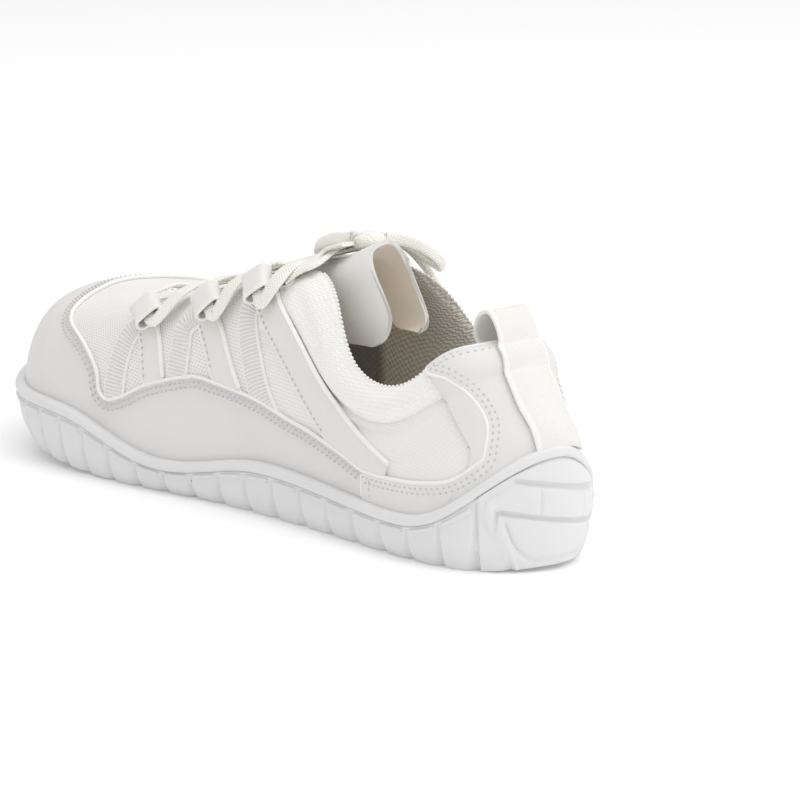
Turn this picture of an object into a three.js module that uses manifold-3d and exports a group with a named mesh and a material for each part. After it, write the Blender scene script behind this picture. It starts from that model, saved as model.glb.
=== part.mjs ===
// A left barefoot shoe: cup sole, hollow upper, overlays, tongue, lace straps, heel strip and lace.
// Millimetres. +X points to the toe, +Y to the outer side of the foot, +Z up. The sole stands on z = 0.
import * as THREE from 'three';
import { mergeVertices } from 'three/addons/utils/BufferGeometryUtils.js';
import Module from 'manifold-3d';

const wasm = await Module();
wasm.setup();

// Driving sizes of the last and the sole
const LENGTH = 288;
const BALL_WIDTH = 109;
const HEEL_HEIGHT = 73;
const INSTEP_HEIGHT = 85;
const CUP_HEIGHT = 44;
const TOE_SPRING = 15;
const HEEL_SPRING = 3;
const SOLE_THICKNESS = 7;
const SOLE_WALL = 3.6;
const SOLE_TUCK = 5;
const BEAD_HEIGHT = 4;
const BEAD_GROOVE = 1.8;
const LUG_PITCH = 13.4;
const LUG_DEPTH = 2;
const RIB_DEPTH = 1.4;
const RIB_CHAMFER = 0.9;

// Walls and layers
const UPPER_WALL = 1.8;
const COLLAR_ROLL = 2.5;
const OVERLAY_THICKNESS = 1;
const INSOLE_THICKNESS = 3;
const TONGUE_THICKNESS = 2.6;
const STRAP_THICKNESS = 1.2;
const WEB_WIDTH = 17;
const WEB_THICKNESS = 1.4;
const PULL_LOOP_HEIGHT = 10;
const PULL_LOOP_REACH = 9;
const TUNNEL_HEIGHT = 9;
const LACE_WIDTH = 7;
const LACE_THICKNESS = 1.6;
const EYELET_BORE = 4.6;
const STRAP_GAP = 0.55;
const CLEARANCE = 0.3;

// The wrap: one row for each station round the foot, from the back of the heel by the outer side to
// the toe and back by the inner side. along and edgeAlong are shares of LENGTH from the back; side
// and edgeSide of BALL_WIDTH; rim of CUP_HEIGHT; edgeHeel of HEEL_HEIGHT and edgeInstep of
// INSTEP_HEIGHT add up to the height of the opening's edge. low and high are two points of the
// profile between rim and edge: how far in, and how far up, as shares of that stretch.
const WRAP_COLUMNS = [
  'along', 'side', 'rim', 'lowIn', 'lowUp', 'highIn', 'highUp',
  'edgeAlong', 'edgeSide', 'edgeHeel', 'edgeInstep', 'roll',
];
const WRAP_ROWS = [
  ['heel back', 0.000, 0.000, 0.965, 0.30, 0.38, 0.66, 0.74, 0.106, 0.000, 0.993, 0.000, 1.0],
  ['outer heel corner', 0.038, 0.205, 0.770, 0.24, 0.36, 0.58, 0.74, 0.113, 0.092, 0.985, 0.000, 1.0],
  ['outer heel side', 0.115, 0.305, 0.420, 0.06, 0.33, 0.38, 0.74, 0.139, 0.174, 0.932, 0.000, 1.0],
  ['outer collar low', 0.215, 0.326, 0.375, -0.02, 0.32, 0.30, 0.69, 0.188, 0.239, 0.773, 0.000, 1.0],
  ['outer collar side', 0.330, 0.330, 0.430, 0.00, 0.35, 0.40, 0.72, 0.262, 0.258, 0.420, 0.356, 1.0],
  ['outer collar front', 0.430, 0.345, 0.440, 0.02, 0.40, 0.42, 0.80, 0.318, 0.210, 0.000, 0.936, 0.8],
  ['outer facing top', 0.515, 0.370, 0.335, 0.03, 0.42, 0.42, 0.84, 0.395, 0.150, 0.000, 1.000, 0.0],
  ['outer facing middle', 0.610, 0.425, 0.310, 0.05, 0.44, 0.42, 0.84, 0.500, 0.145, 0.000, 0.897, 0.0],
  ['outer facing low', 0.715, 0.475, 0.530, 0.06, 0.46, 0.42, 0.86, 0.620, 0.138, 0.000, 0.786, 0.0],
  ['little toe', 0.815, 0.475, 0.590, 0.06, 0.48, 0.40, 0.88, 0.700, 0.110, 0.000, 0.713, 0.0],
  ['toe corner', 0.915, 0.344, 0.610, 0.07, 0.48, 0.34, 0.88, 0.748, 0.062, 0.000, 0.697, 0.0],
  ['toe tip', 0.995, 0.010, 0.650, 0.07, 0.48, 0.32, 0.90, 0.764, 0.000, 0.000, 0.697, 0.0],
  ['big toe', 0.975, -0.325, 0.630, 0.07, 0.48, 0.34, 0.88, 0.748, -0.062, 0.000, 0.697, 0.0],
  ['big toe side', 0.870, -0.490, 0.580, 0.06, 0.48, 0.40, 0.88, 0.700, -0.110, 0.000, 0.713, 0.0],
  ['inner facing low', 0.740, -0.512, 0.530, 0.06, 0.46, 0.42, 0.86, 0.620, -0.138, 0.000, 0.786, 0.0],
  ['inner facing middle', 0.620, -0.455, 0.360, 0.05, 0.44, 0.42, 0.84, 0.500, -0.145, 0.000, 0.889, 0.0],
  ['inner facing top', 0.515, -0.372, 0.380, 0.03, 0.42, 0.42, 0.84, 0.395, -0.150, 0.000, 0.979, 0.0],
  ['inner collar front', 0.425, -0.325, 0.440, 0.02, 0.40, 0.42, 0.80, 0.318, -0.210, 0.000, 0.910, 0.8],
  ['inner collar side', 0.330, -0.305, 0.430, 0.00, 0.35, 0.40, 0.72, 0.262, -0.256, 0.420, 0.356, 1.0],
  ['inner collar low', 0.215, -0.300, 0.375, -0.02, 0.32, 0.30, 0.69, 0.188, -0.239, 0.765, 0.000, 1.0],
  ['inner heel side', 0.115, -0.285, 0.400, 0.06, 0.33, 0.38, 0.74, 0.141, -0.165, 0.905, 0.000, 1.0],
  ['inner heel corner', 0.038, -0.192, 0.620, 0.24, 0.36, 0.58, 0.74, 0.113, -0.087, 0.985, 0.000, 1.0],
];
const WRAP_COUNT = WRAP_ROWS.length;
const WRAP_VALUES = WRAP_ROWS.map((row) => row.slice(1));

// Heights on the wrap's profile: the feather edge, the sole's rim, and the edge of the opening
const FEATHER = 0;
const CREASE = 3;
const EDGE = 4;
const RIM_HIDDEN = 1.5;

// Where the layers end, as [station, height on the profile]; the inner side mirrors the outer one
const SEAM_STATION = 3.12;
const MUDGUARD_EDGE = [
  [3.12, 1.88], [3.50, 2.07], [3.95, 2.12], [4.40, 2.02], [5.20, 1.94], [5.80, 1.98], [6.30, 2.04],
  [7.00, 1.92], [7.40, 1.66], [7.58, 1.56], [7.68, 1.60], [7.80, 1.89], [8.20, 2.25], [8.90, 2.64],
  [9.70, 3.16], [10.30, 3.36], [11.00, 3.42],
];
const COUNTER_LOW_EDGE = [
  [3.12, 1.88], [2.62, 1.85], [2.08, 1.73], [1.60, 1.55], [1.10, 1.50], [0.50, 1.50], [0.00, 1.50],
];
const COUNTER_BACK_EDGE = [
  [1.20, 1.30], [1.12, 1.62], [1.06, 2.15], [1.16, 2.50], [1.38, 2.85], [1.74, 3.22], [2.10, 3.52],
];

// Lace tunnels, one row for each pair of straps on a side: place on the wrap, and length of the bore
const TUNNEL_COLUMNS = ['station', 'height', 'length'];
const TUNNEL_ROWS = [
  [7.47, 2.86, 10],
  [6.57, 2.95, 10],
  [5.90, 3.20, 10.5],
];

// Strap legs: the pair they belong to, two places on the way up from the foot, and their widths
const LEG_COLUMNS = [
  'pair', 'footStation', 'footHeight', 'midStation', 'midHeight', 'topStation', 'topHeight',
  'footWidth', 'topWidth',
];
const LEG_ROWS = [
  [1, 7.46, 1.50, 7.52, 2.20, 7.56, 2.58, 9.5, 8.0],
  [1, 6.84, 1.85, 7.12, 2.35, 7.34, 2.62, 10.5, 9.0],
  [2, 6.50, 1.92, 6.62, 2.33, 6.76, 2.70, 9.5, 8.5],
  [2, 5.40, 1.82, 6.02, 2.37, 6.47, 2.75, 12.0, 9.5],
  [3, 4.66, 1.82, 5.16, 2.30, 5.72, 2.80, 11.0, 8.5],
  [3, 2.80, 1.70, 3.95, 2.70, 5.30, 2.94, 15.0, 10.5],
];

// The tongue, from the toe end of the throat to its free top. along is a share of LENGTH, lean how
// far its sides fall back, half and flare of BALL_WIDTH, top and foot of INSTEP_HEIGHT
const TONGUE_COLUMNS = ['along', 'lean', 'half', 'top', 'foot', 'flare'];
const TONGUE_ROWS = [
  [0.742, 0.000, 0.080, 0.648, 0.600, 0.000],
  [0.680, 0.000, 0.122, 0.702, 0.640, 0.000],
  [0.600, 0.000, 0.146, 0.782, 0.700, 0.000],
  [0.500, 0.000, 0.148, 0.880, 0.782, 0.000],
  [0.420, 0.000, 0.150, 0.970, 0.830, 0.000],
  [0.380, 0.008, 0.138, 1.018, 0.820, 0.010],
  [0.350, 0.028, 0.122, 1.052, 0.775, 0.055],
  [0.322, 0.048, 0.112, 1.085, 0.735, 0.105],
];
// The tongue's arch, from the outer foot over the top: share of the half width, and of the height
const TONGUE_ARCH = [
  [1.00, 0.00, 1], [0.96, 0.12, 0.55], [0.95, 0.32, 0.12], [0.91, 0.58, 0], [0.76, 0.83, 0],
  [0.44, 0.96, 0], [0.00, 1.00, 0], [-0.44, 0.96, 0], [-0.74, 0.82, 0], [-0.88, 0.57, 0],
  [-0.95, 0.32, 0.1], [-1.00, 0.00, 0.25],
];

const clamp = THREE.MathUtils.clamp;
const lerp = THREE.MathUtils.lerp;

function named(columns, row) {
  return Object.fromEntries(columns.map((column, index) => [column, row[index]]));
}

// Slopes of a smooth closed curve through equally spaced values (each row holds several columns)
function closedSlopes(rows) {
  const count = rows.length;
  const slopes = rows.map((row) => row.map(() => 0));
  for (let pass = 0; pass < 40; pass += 1) {
    for (let i = 0; i < count; i += 1) {
      const before = (i + count - 1) % count;
      const after = (i + 1) % count;
      slopes[i] = rows[i].map((_, c) => (
        (3 * (rows[after][c] - rows[before][c]) - slopes[before][c] - slopes[after][c]) / 4));
    }
  }
  return slopes;
}

// Slopes of a natural curve through equally spaced points
function openSlopes(points) {
  const last = points.length - 1;
  const slopes = points.map(() => new THREE.Vector3());
  for (let pass = 0; pass < 40; pass += 1) {
    for (let i = 0; i <= last; i += 1) {
      const before = Math.max(i - 1, 0);
      const after = Math.min(i + 1, last);
      const slope = points[after].clone().sub(points[before]).multiplyScalar(3);
      if (i > 0) slope.sub(slopes[before]);
      if (i < last) slope.sub(slopes[after]);
      slopes[i] = slope.divideScalar(i > 0 && i < last ? 4 : 2);
    }
  }
  return slopes;
}

function hermite(u) {
  return [
    2 * u ** 3 - 3 * u ** 2 + 1, u ** 3 - 2 * u ** 2 + u,
    -2 * u ** 3 + 3 * u ** 2, u ** 3 - u ** 2,
  ];
}

const WRAP_SLOPES = closedSlopes(WRAP_VALUES);

function wrapAt(station) {
  const turn = ((station % WRAP_COUNT) + WRAP_COUNT) % WRAP_COUNT;
  const i = Math.min(Math.floor(turn), WRAP_COUNT - 1);
  const j = (i + 1) % WRAP_COUNT;
  const [a, b, c, d] = hermite(turn - i);
  const values = WRAP_VALUES[i].map((value, k) => (
    a * value + b * WRAP_SLOPES[i][k] + c * WRAP_VALUES[j][k] + d * WRAP_SLOPES[j][k]));
  return named(WRAP_COLUMNS, values);
}

// The sole's outline in plan, and its outward direction
function outline(station) {
  const row = wrapAt(station);
  return new THREE.Vector2((row.along - 0.5) * LENGTH, row.side * BALL_WIDTH);
}

function outward(station) {
  const step = 1e-3;
  const run = outline(station + step).sub(outline(station - step));
  return new THREE.Vector2(-run.y, run.x).normalize();
}

function outlineInset(station, inset) {
  return outline(station).addScaledVector(outward(station), -inset);
}

function rimHeight(station) {
  return wrapAt(station).rim * CUP_HEIGHT;
}

// Height of the sole's underside: flat under heel and ball, up at the toe and a little at the back
const SPRING_START = 0.62;
const HEEL_SPRING_START = 0.09;
function spring(x) {
  const along = x / LENGTH + 0.5;
  const toe = clamp((along - SPRING_START) / (1 - SPRING_START), 0, 1);
  const heel = clamp((HEEL_SPRING_START - along) / HEEL_SPRING_START, 0, 1);
  return TOE_SPRING * toe ** 1.9 + HEEL_SPRING * heel ** 2;
}

// The five points of the upper's profile at a station
const LAST_INSET = SOLE_WALL + CLEARANCE;
function profilePoints(station) {
  const row = wrapAt(station);
  const foot = outlineInset(station, LAST_INSET);
  const rim = row.rim * CUP_HEIGHT - RIM_HIDDEN;
  const edge = new THREE.Vector3(
    (row.edgeAlong - 0.5) * LENGTH,
    row.edgeSide * BALL_WIDTH,
    row.edgeHeel * HEEL_HEIGHT + row.edgeInstep * INSTEP_HEIGHT,
  );
  const between = (inward, up) => new THREE.Vector3(
    lerp(foot.x, edge.x, inward), lerp(foot.y, edge.y, inward), lerp(rim, edge.z, up));
  return [
    new THREE.Vector3(foot.x, foot.y, spring(foot.x) + SOLE_THICKNESS + CLEARANCE),
    new THREE.Vector3(foot.x, foot.y, rim),
    between(row.lowIn, row.lowUp),
    between(row.highIn, row.highUp),
    edge,
  ];
}

const profiles = new Map();
function profile(station) {
  if (!profiles.has(station)) {
    const points = profilePoints(station);
    profiles.set(station, { points, slopes: openSlopes(points), roll: wrapAt(station).roll });
  }
  return profiles.get(station);
}

// A point of the wrap at a station round the foot and a height on the profile
function surface(station, height) {
  const { points, slopes } = profile(station);
  const i = clamp(Math.floor(height), 0, EDGE - 1);
  const [a, b, c, d] = hermite(height - i);
  return new THREE.Vector3()
    .addScaledVector(points[i], a).addScaledVector(slopes[i], b)
    .addScaledVector(points[i + 1], c).addScaledVector(slopes[i + 1], d);
}

function surfaceNormal(station, height) {
  const step = 1e-3;
  const round = surface(station + step, height).sub(surface(station - step, height));
  const up = surface(station, Math.min(height + step, EDGE))
    .sub(surface(station, Math.max(height - step, FEATHER)));
  return up.cross(round).normalize();
}

// The outer face of the upper, with the padded roll of the collar, moved out by a distance
function skin(station, height, distance = 0) {
  const swell = Math.sin(Math.PI * clamp((height - CREASE) / (EDGE - CREASE), 0, 1));
  const roll = COLLAR_ROLL * clamp(profile(station).roll, 0, 1) * swell;
  return surface(station, height).addScaledVector(surfaceNormal(station, height), roll + distance);
}

// The inner face of the upper
function lining(station, height) {
  return surface(station, height)
    .addScaledVector(surfaceNormal(station, height), -UPPER_WALL);
}

// The height on the profile where the wrap reaches a level
function heightAtLevel(station, level) {
  let low = FEATHER;
  let high = CREASE;
  for (let pass = 0; pass < 24; pass += 1) {
    const middle = (low + high) / 2;
    if (surface(station, middle).z < level) low = middle;
    else high = middle;
  }
  return low;
}

// Solids
function geometryOf(vertices, triangles) {
  const geometry = new THREE.BufferGeometry();
  geometry.setAttribute('position', new THREE.Float32BufferAttribute(
    vertices.flatMap((v) => [v.x, v.y, v.z]), 3));
  geometry.setIndex(triangles.flat());
  return geometry;
}

function signedVolume(vertices, triangles) {
  return triangles.reduce((sum, [a, b, c]) => (
    sum + vertices[a].dot(vertices[b].clone().cross(vertices[c]))), 0);
}

// Joins loops of points one to the next. The second half of a loop is split along the other
// diagonal, so that both faces of a wall fold alike. An open run is closed at both ends by rungs
// that cross each end loop from side to side.
function loft(loops, closed = false) {
  const size = loops[0].length;
  const vertices = loops.flat();
  const triangles = [];
  const quad = (a, b, c, d, back) => triangles.push(
    ...(back ? [[a, b, d], [b, c, d]] : [[a, b, c], [a, c, d]]));
  const steps = closed ? loops.length : loops.length - 1;
  for (let i = 0; i < steps; i += 1) {
    const here = i * size;
    const next = ((i + 1) % loops.length) * size;
    for (let j = 0; j < size; j += 1) {
      const k = (j + 1) % size;
      quad(here + j, next + j, next + k, here + k, j >= size / 2);
    }
  }
  const cap = (start, flip) => {
    const add = (a, b, c) => triangles.push(flip ? [a, c, b] : [a, b, c]);
    add(start, start + 1, start + size - 1);
    for (let k = 1; k < size / 2 - 1; k += 1) {
      add(start + k, start + k + 1, start + size - k - 1);
      add(start + k, start + size - k - 1, start + size - k);
    }
    add(start + size / 2 - 1, start + size / 2, start + size / 2 + 1);
  };
  if (!closed) {
    cap(0, false);
    cap((loops.length - 1) * size, true);
  }
  if (signedVolume(vertices, triangles) < 0) triangles.forEach((t) => t.reverse());
  return geometryOf(vertices, triangles);
}

function solidOf(geometry) {
  const bare = geometry.clone();
  bare.deleteAttribute('normal');
  bare.deleteAttribute('uv');
  const merged = mergeVertices(bare, 1e-4);
  return new wasm.Manifold(new wasm.Mesh({
    numProp: 3,
    vertProperties: new Float32Array(merged.attributes.position.array),
    triVerts: new Uint32Array(merged.index.array),
  }));
}

function geometryFrom(solid) {
  const mesh = solid.getMesh();
  const geometry = new THREE.BufferGeometry();
  const positions = [];
  for (let i = 0; i < mesh.vertProperties.length; i += mesh.numProp) {
    positions.push(...mesh.vertProperties.subarray(i, i + 3));
  }
  geometry.setAttribute('position', new THREE.Float32BufferAttribute(positions, 3));
  geometry.setIndex(Array.from(mesh.triVerts));
  return geometry;
}

// A union can leave slivers where two faces coincide: the body itself is what stays
function mainBody(solid) {
  return solid.decompose().sort((a, b) => b.volume() - a.volume())[0];
}

function range(count) {
  return Array.from({ length: count }, (_, i) => i);
}

// The outsole: a cup with lugs round its side and ribs across the back of its heel block
const HEEL_BLOCK_END = 1.72;
const HEEL_BLOCK_STEPS = 7;
const LUG_EDGE = 0.14;
const TOE_STATION = WRAP_COUNT / 2;

// Mean distance along both sides from the back of the heel to a station
function sideLengths(steps) {
  const lengths = [0];
  const at = (i) => (i / steps) * TOE_STATION;
  for (let i = 1; i <= steps; i += 1) {
    const outer = outline(at(i)).distanceTo(outline(at(i - 1)));
    const inner = outline(-at(i)).distanceTo(outline(-at(i - 1)));
    lengths.push(lengths[i - 1] + (outer + inner) / 2);
  }
  return lengths;
}

// Stations of the sole's side, equal on both sides: [station, 1 at a gap between lugs]
function soleStations() {
  const steps = 440;
  const lengths = sideLengths(steps);
  const stationAt = (distance) => {
    const i = clamp(lengths.findIndex((length) => length >= distance), 1, steps);
    const part = (distance - lengths[i - 1]) / (lengths[i] - lengths[i - 1]);
    return ((i - 1 + part) / steps) * TOE_STATION;
  };
  const blockLength = lengths[Math.round((HEEL_BLOCK_END / TOE_STATION) * steps)];
  const total = lengths[steps];
  const lugs = Math.max(Math.round((total - blockLength) / LUG_PITCH), 1);
  const pitch = (total - blockLength) / lugs;
  const side = range(HEEL_BLOCK_STEPS).slice(1).map((i) => (
    [stationAt((blockLength * i) / HEEL_BLOCK_STEPS), 0]));
  for (let i = 0; i < lugs; i += 1) {
    const start = blockLength + i * pitch;
    side.push([stationAt(start), 1]);
    side.push([stationAt(start + pitch * LUG_EDGE), 0]);
    side.push([stationAt(start + pitch * (1 - LUG_EDGE)), 0]);
  }
  const back = side.map(([station, gap]) => [WRAP_COUNT - station, gap]).reverse();
  return [[0, 0], ...side, [TOE_STATION, 1], ...back];
}

// Levels of the heel's two grooves: shares of the block's height at the outer and inner corner
const LOW_RIB = [0.50, 0.30];
const HIGH_RIB = [0.76, 0.58];

function soleRings() {
  const stations = soleStations();
  const ringAt = (level, inset) => stations.map(([station, gap]) => {
    const flat = outlineInset(station, inset(station, gap));
    return new THREE.Vector3(flat.x, flat.y, level(station));
  });
  const block = (station) => {
    const near = Math.min(station, WRAP_COUNT - station);
    return 1 - clamp((near - HEEL_BLOCK_END) / 0.02, 0, 1);
  };
  const ground = (station) => spring(outlineInset(station, SOLE_TUCK).x);
  const grooveTop = (station) => rimHeight(station) - BEAD_HEIGHT;
  const tall = CUP_HEIGHT * 0.965 - BEAD_HEIGHT;
  const across = (station) => clamp(0.5 + outline(station).y / (0.6 * BALL_WIDTH), 0, 1);
  const level = (sideShare, rib, shift) => (station) => {
    const side = lerp(ground(station), grooveTop(station), sideShare);
    const [outer, inner] = rib;
    const heel = Math.min(
      tall * lerp(inner, outer, across(station)) + shift, grooveTop(station) + shift * 0.1);
    return lerp(side, Math.max(heel, ground(station) + 1), block(station));
  };
  const inset = (side, heel) => (station, gap) => (
    lerp(side + gap * LUG_DEPTH, heel, block(station)));
  const thick = SOLE_THICKNESS;
  return [
    ringAt(ground, (station, gap) => SOLE_TUCK + gap * LUG_DEPTH * 0.5),
    ringAt(level(0.18, LOW_RIB, -RIB_CHAMFER), inset(1.0, 0.4)),
    ringAt(level(0.34, LOW_RIB, 0), inset(0.8, RIB_DEPTH)),
    ringAt(level(0.50, LOW_RIB, RIB_CHAMFER), inset(0.7, 0.2)),
    ringAt(level(0.62, HIGH_RIB, -RIB_CHAMFER), inset(0.7, 0.2)),
    ringAt(level(0.68, HIGH_RIB, 0), inset(1.5, RIB_DEPTH)),
    ringAt(level(0.84, HIGH_RIB, RIB_CHAMFER), inset(1.7, 0.2)),
    ringAt(grooveTop, () => BEAD_GROOVE),
    ringAt((station) => grooveTop(station) + 0.9, () => 0),
    ringAt(rimHeight, () => 0.6),
    stations.map(([station]) => {
      const height = heightAtLevel(station, rimHeight(station));
      return surface(station, height).addScaledVector(surfaceNormal(station, height), CLEARANCE)
        .setZ(rimHeight(station));
    }),
    stations.map(([station]) => (
      surface(station, FEATHER).addScaledVector(surfaceNormal(station, FEATHER), CLEARANCE))),
    stations.map(([station]) => {
      const flat = outlineInset(station, SOLE_WALL);
      return new THREE.Vector3(flat.x, flat.y, spring(flat.x) + thick);
    }),
  ];
}

// The insole: a slab that follows the sole's floor inside the upper's wall
const AROUND = 48;
const STATIONS = range(AROUND).map((i) => (i / AROUND) * WRAP_COUNT);

function insoleRings() {
  const inset = SOLE_WALL + 2 * CLEARANCE + UPPER_WALL + 0.2;
  const ring = (extra, lift) => STATIONS.map((station) => {
    const flat = outlineInset(station, inset + extra);
    return new THREE.Vector3(flat.x, flat.y, spring(flat.x) + SOLE_THICKNESS + lift);
  });
  return [
    ring(0, CLEARANCE), ring(0, INSOLE_THICKNESS - 0.6), ring(0.9, INSOLE_THICKNESS),
  ];
}

// The upper: one hollow solid, open at collar and throat and under the foot
const HEIGHTS = [0, 1, 1.5, 2, 2.5, 3, 3.33, 3.67, 4];
const EYELET_STATION = 5.74;
const EYELET_HEIGHT = 3.5;

function shell(inner, outer, heights = HEIGHTS) {
  return loft(STATIONS.map((station) => [
    ...heights.map((height) => outer(station, height)),
    ...heights.map((height) => inner(station, height)).reverse(),
  ]), true);
}

function punch(station, height, bore) {
  const normal = surfaceNormal(station, height);
  const depth = 4 * (UPPER_WALL + COLLAR_ROLL);
  const geometry = new THREE.CylinderGeometry(bore / 2, bore / 2, depth, 12);
  geometry.applyQuaternion(new THREE.Quaternion().setFromUnitVectors(
    new THREE.Vector3(0, 1, 0), normal));
  const centre = skin(station, height);
  geometry.translate(centre.x, centre.y, centre.z);
  return solidOf(geometry);
}

function upper() {
  const body = solidOf(shell(lining, (station, height) => skin(station, height)));
  return geometryFrom(body
    .subtract(punch(EYELET_STATION, EYELET_HEIGHT, EYELET_BORE))
    .subtract(punch(WRAP_COUNT - EYELET_STATION, EYELET_HEIGHT, EYELET_BORE)));
}

// Overlays: cut between two forms that stand off the upper
function coat(near, thickness) {
  return solidOf(shell(
    (station, height) => skin(station, height, near),
    (station, height) => skin(station, height, near + thickness),
    HEIGHTS.slice(1),
  ));
}

const CUT_UNDER = 1.5;
const CUT_OVER = 5;

// A cutter through the wall: a run of strips, each between two places of the wrap
function cutter(strips) {
  const steps = 3;
  return solidOf(loft(strips.map(([from, to]) => {
    const along = range(steps + 1).map((i) => [
      lerp(from[0], to[0], i / steps), lerp(from[1], to[1], i / steps)]);
    return [
      ...along.map(([station, height]) => skin(station, height, CUT_OVER)),
      ...along.map(([station, height]) => skin(station, height, -CUT_UNDER)).reverse(),
    ];
  })));
}

function smoothEdge(rows, count) {
  const curve = new THREE.CatmullRomCurve3(
    rows.map(([station, height]) => new THREE.Vector3(station, height, 0)), false, 'centripetal');
  return curve.getPoints(count).map((point) => [point.x, point.y]);
}

function aboveRim(station) {
  return heightAtLevel(station, rimHeight(station) + 2 * CLEARANCE);
}

function mirrored(edge) {
  return edge.map(([station, height]) => [WRAP_COUNT - station, height]).reverse();
}

// What an overlay covers, grown by a gap along the wrap where its neighbours are cut by it
const EDGE_GAP = 0.02;
function mudguardZone(gap) {
  const outer = smoothEdge(MUDGUARD_EDGE, 22).map(([station, height]) => [station, height + gap]);
  const edge = [...outer, ...mirrored(outer).slice(1)];
  return cutter(edge.map((place) => [[place[0], aboveRim(place[0])], place]));
}

function counterZone(gap) {
  const seam = SEAM_STATION - EDGE_GAP + 2 * gap;
  const outer = smoothEdge(COUNTER_LOW_EDGE, 10).filter(([station]) => station < seam);
  const low = [[seam, COUNTER_LOW_EDGE[0][1]], ...outer]
    .map(([station, height]) => [station, height + gap]);
  const around = [...low, ...low.slice(0, -1).map(([station, height]) => [-station, height]).reverse()];
  const band = cutter(around.map((place) => [[place[0], aboveRim(place[0])], place]));
  const back = cutter(smoothEdge(COUNTER_BACK_EDGE, 10)
    .map(([station, height]) => [[station, height], [-station, height]]));
  return band.add(back);
}

function overlay(zone) {
  return geometryFrom(mainBody(coat(CLEARANCE, OVERLAY_THICKNESS).intersect(zone)));
}

// Ribbons that lie on the upper: sections across a path of [station, height] places
function ribbonFrame(path, t) {
  const at = path.getPoint(t);
  const ahead = path.getPoint(Math.min(t + 0.01, 1));
  const behind = path.getPoint(Math.max(t - 0.01, 0));
  const run = skin(ahead.x, ahead.y).sub(skin(behind.x, behind.y)).normalize();
  const normal = surfaceNormal(at.x, at.y);
  return { at, side: normal.clone().cross(run).normalize() };
}

// The place of the wrap that lies a distance away from another along a direction
function stepOnWrap(place, direction, distance) {
  const step = 0.01;
  const origin = skin(place.x, place.y);
  const round = skin(place.x + step, place.y).sub(origin).divideScalar(step);
  const up = skin(place.x, place.y + step).sub(origin).divideScalar(step);
  const move = direction.clone().multiplyScalar(distance);
  const rr = round.dot(round);
  const uu = up.dot(up);
  const ru = round.dot(up);
  const det = rr * uu - ru * ru;
  const mr = move.dot(round);
  const mu = move.dot(up);
  return [place.x + (mr * uu - mu * ru) / det, place.y + (mu * rr - mr * ru) / det];
}

function ribbon(places, widths, near, thickness, steps) {
  const path = new THREE.CatmullRomCurve3(
    places.map(([station, height]) => new THREE.Vector3(station, height, 0)), false, 'centripetal');
  return loft(range(steps + 1).map((i) => {
    const { at, side } = ribbonFrame(path, i / steps);
    const width = lerp(widths[0], widths[1], i / steps);
    const across = [-0.5, 0, 0.5].map((share) => stepOnWrap(at, side, share * width));
    const face = (distance) => across.map(([station, height]) => (
      skin(station, Math.min(height, EDGE), distance)));
    return [...face(near), ...face(near + thickness).reverse()];
  }));
}

// A lace tunnel: a flat tube at the top of a strap pair, its bore along the foot. The lace runs on
// past each end and turns there
const TUNNEL_BORE = LACE_THICKNESS + 2;
const LACE_TURN = LACE_WIDTH / 2 + 2.2;
const LACE_REACH = LACE_TURN + LACE_WIDTH / 2;
function tunnelFrame(row, mirror) {
  const station = mirror ? WRAP_COUNT - row.station : row.station;
  const centre = skin(station, row.height);
  const normal = surfaceNormal(station, row.height);
  const up = skin(station, row.height + 0.05).sub(centre).normalize();
  const axis = up.clone().cross(normal).normalize();
  if (axis.x < 0) axis.negate();
  centre.addScaledVector(normal, TUNNEL_BORE / 2 + STRAP_THICKNESS + 2 * CLEARANCE);
  return { centre, axis, up, normal };
}

// Half a tunnel's section: 1 for its outside, 0 for its bore
function tunnelForm(row, mirror, wall, length) {
  const { centre, axis, up, normal } = tunnelFrame(row, mirror);
  const radius = TUNNEL_BORE / 2 + wall * STRAP_THICKNESS;
  const stadium = (halfLong) => {
    const points = [];
    for (let i = 0; i <= 3; i += 1) {
      const angle = -Math.PI / 2 + (Math.PI * i) / 3;
      points.push([halfLong + radius * Math.cos(angle), radius * Math.sin(angle)]);
    }
    return [...points, ...points.map(([a, b]) => [-a, -b])];
  };
  const halfLong = TUNNEL_HEIGHT / 2 - TUNNEL_BORE / 2;
  return solidOf(loft([-length / 2, length / 2].map((offset) => (
    stadium(halfLong).map(([a, b]) => centre.clone()
      .addScaledVector(up, a).addScaledVector(normal, b).addScaledVector(axis, offset))))));
}

function strapPair(index, mirror) {
  const turn = (station, height) => [mirror ? WRAP_COUNT - station : station, height];
  const row = named(TUNNEL_COLUMNS, TUNNEL_ROWS[index]);
  const legs = LEG_ROWS.map((values) => named(LEG_COLUMNS, values))
    .filter((leg) => leg.pair === index + 1)
    .map((leg, order) => solidOf(ribbon([
      turn(leg.footStation, leg.footHeight), turn(leg.midStation, leg.midHeight),
      turn(leg.topStation, leg.topHeight), turn(row.station, row.height),
    ], [leg.footWidth, leg.topWidth], STRAP_GAP + order * 0.1, STRAP_THICKNESS, 4 + 2 * order)));
  const whole = legs[0].add(legs[1]).add(tunnelForm(row, mirror, 1, row.length))
    .subtract(tunnelForm(row, mirror, 0, row.length + 2 * LACE_REACH));
  return geometryFrom(mainBody(whole.subtract(laceRuns(CLEARANCE))
    .subtract(mudguardZone(EDGE_GAP)).subtract(counterZone(EDGE_GAP))));
}

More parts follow.
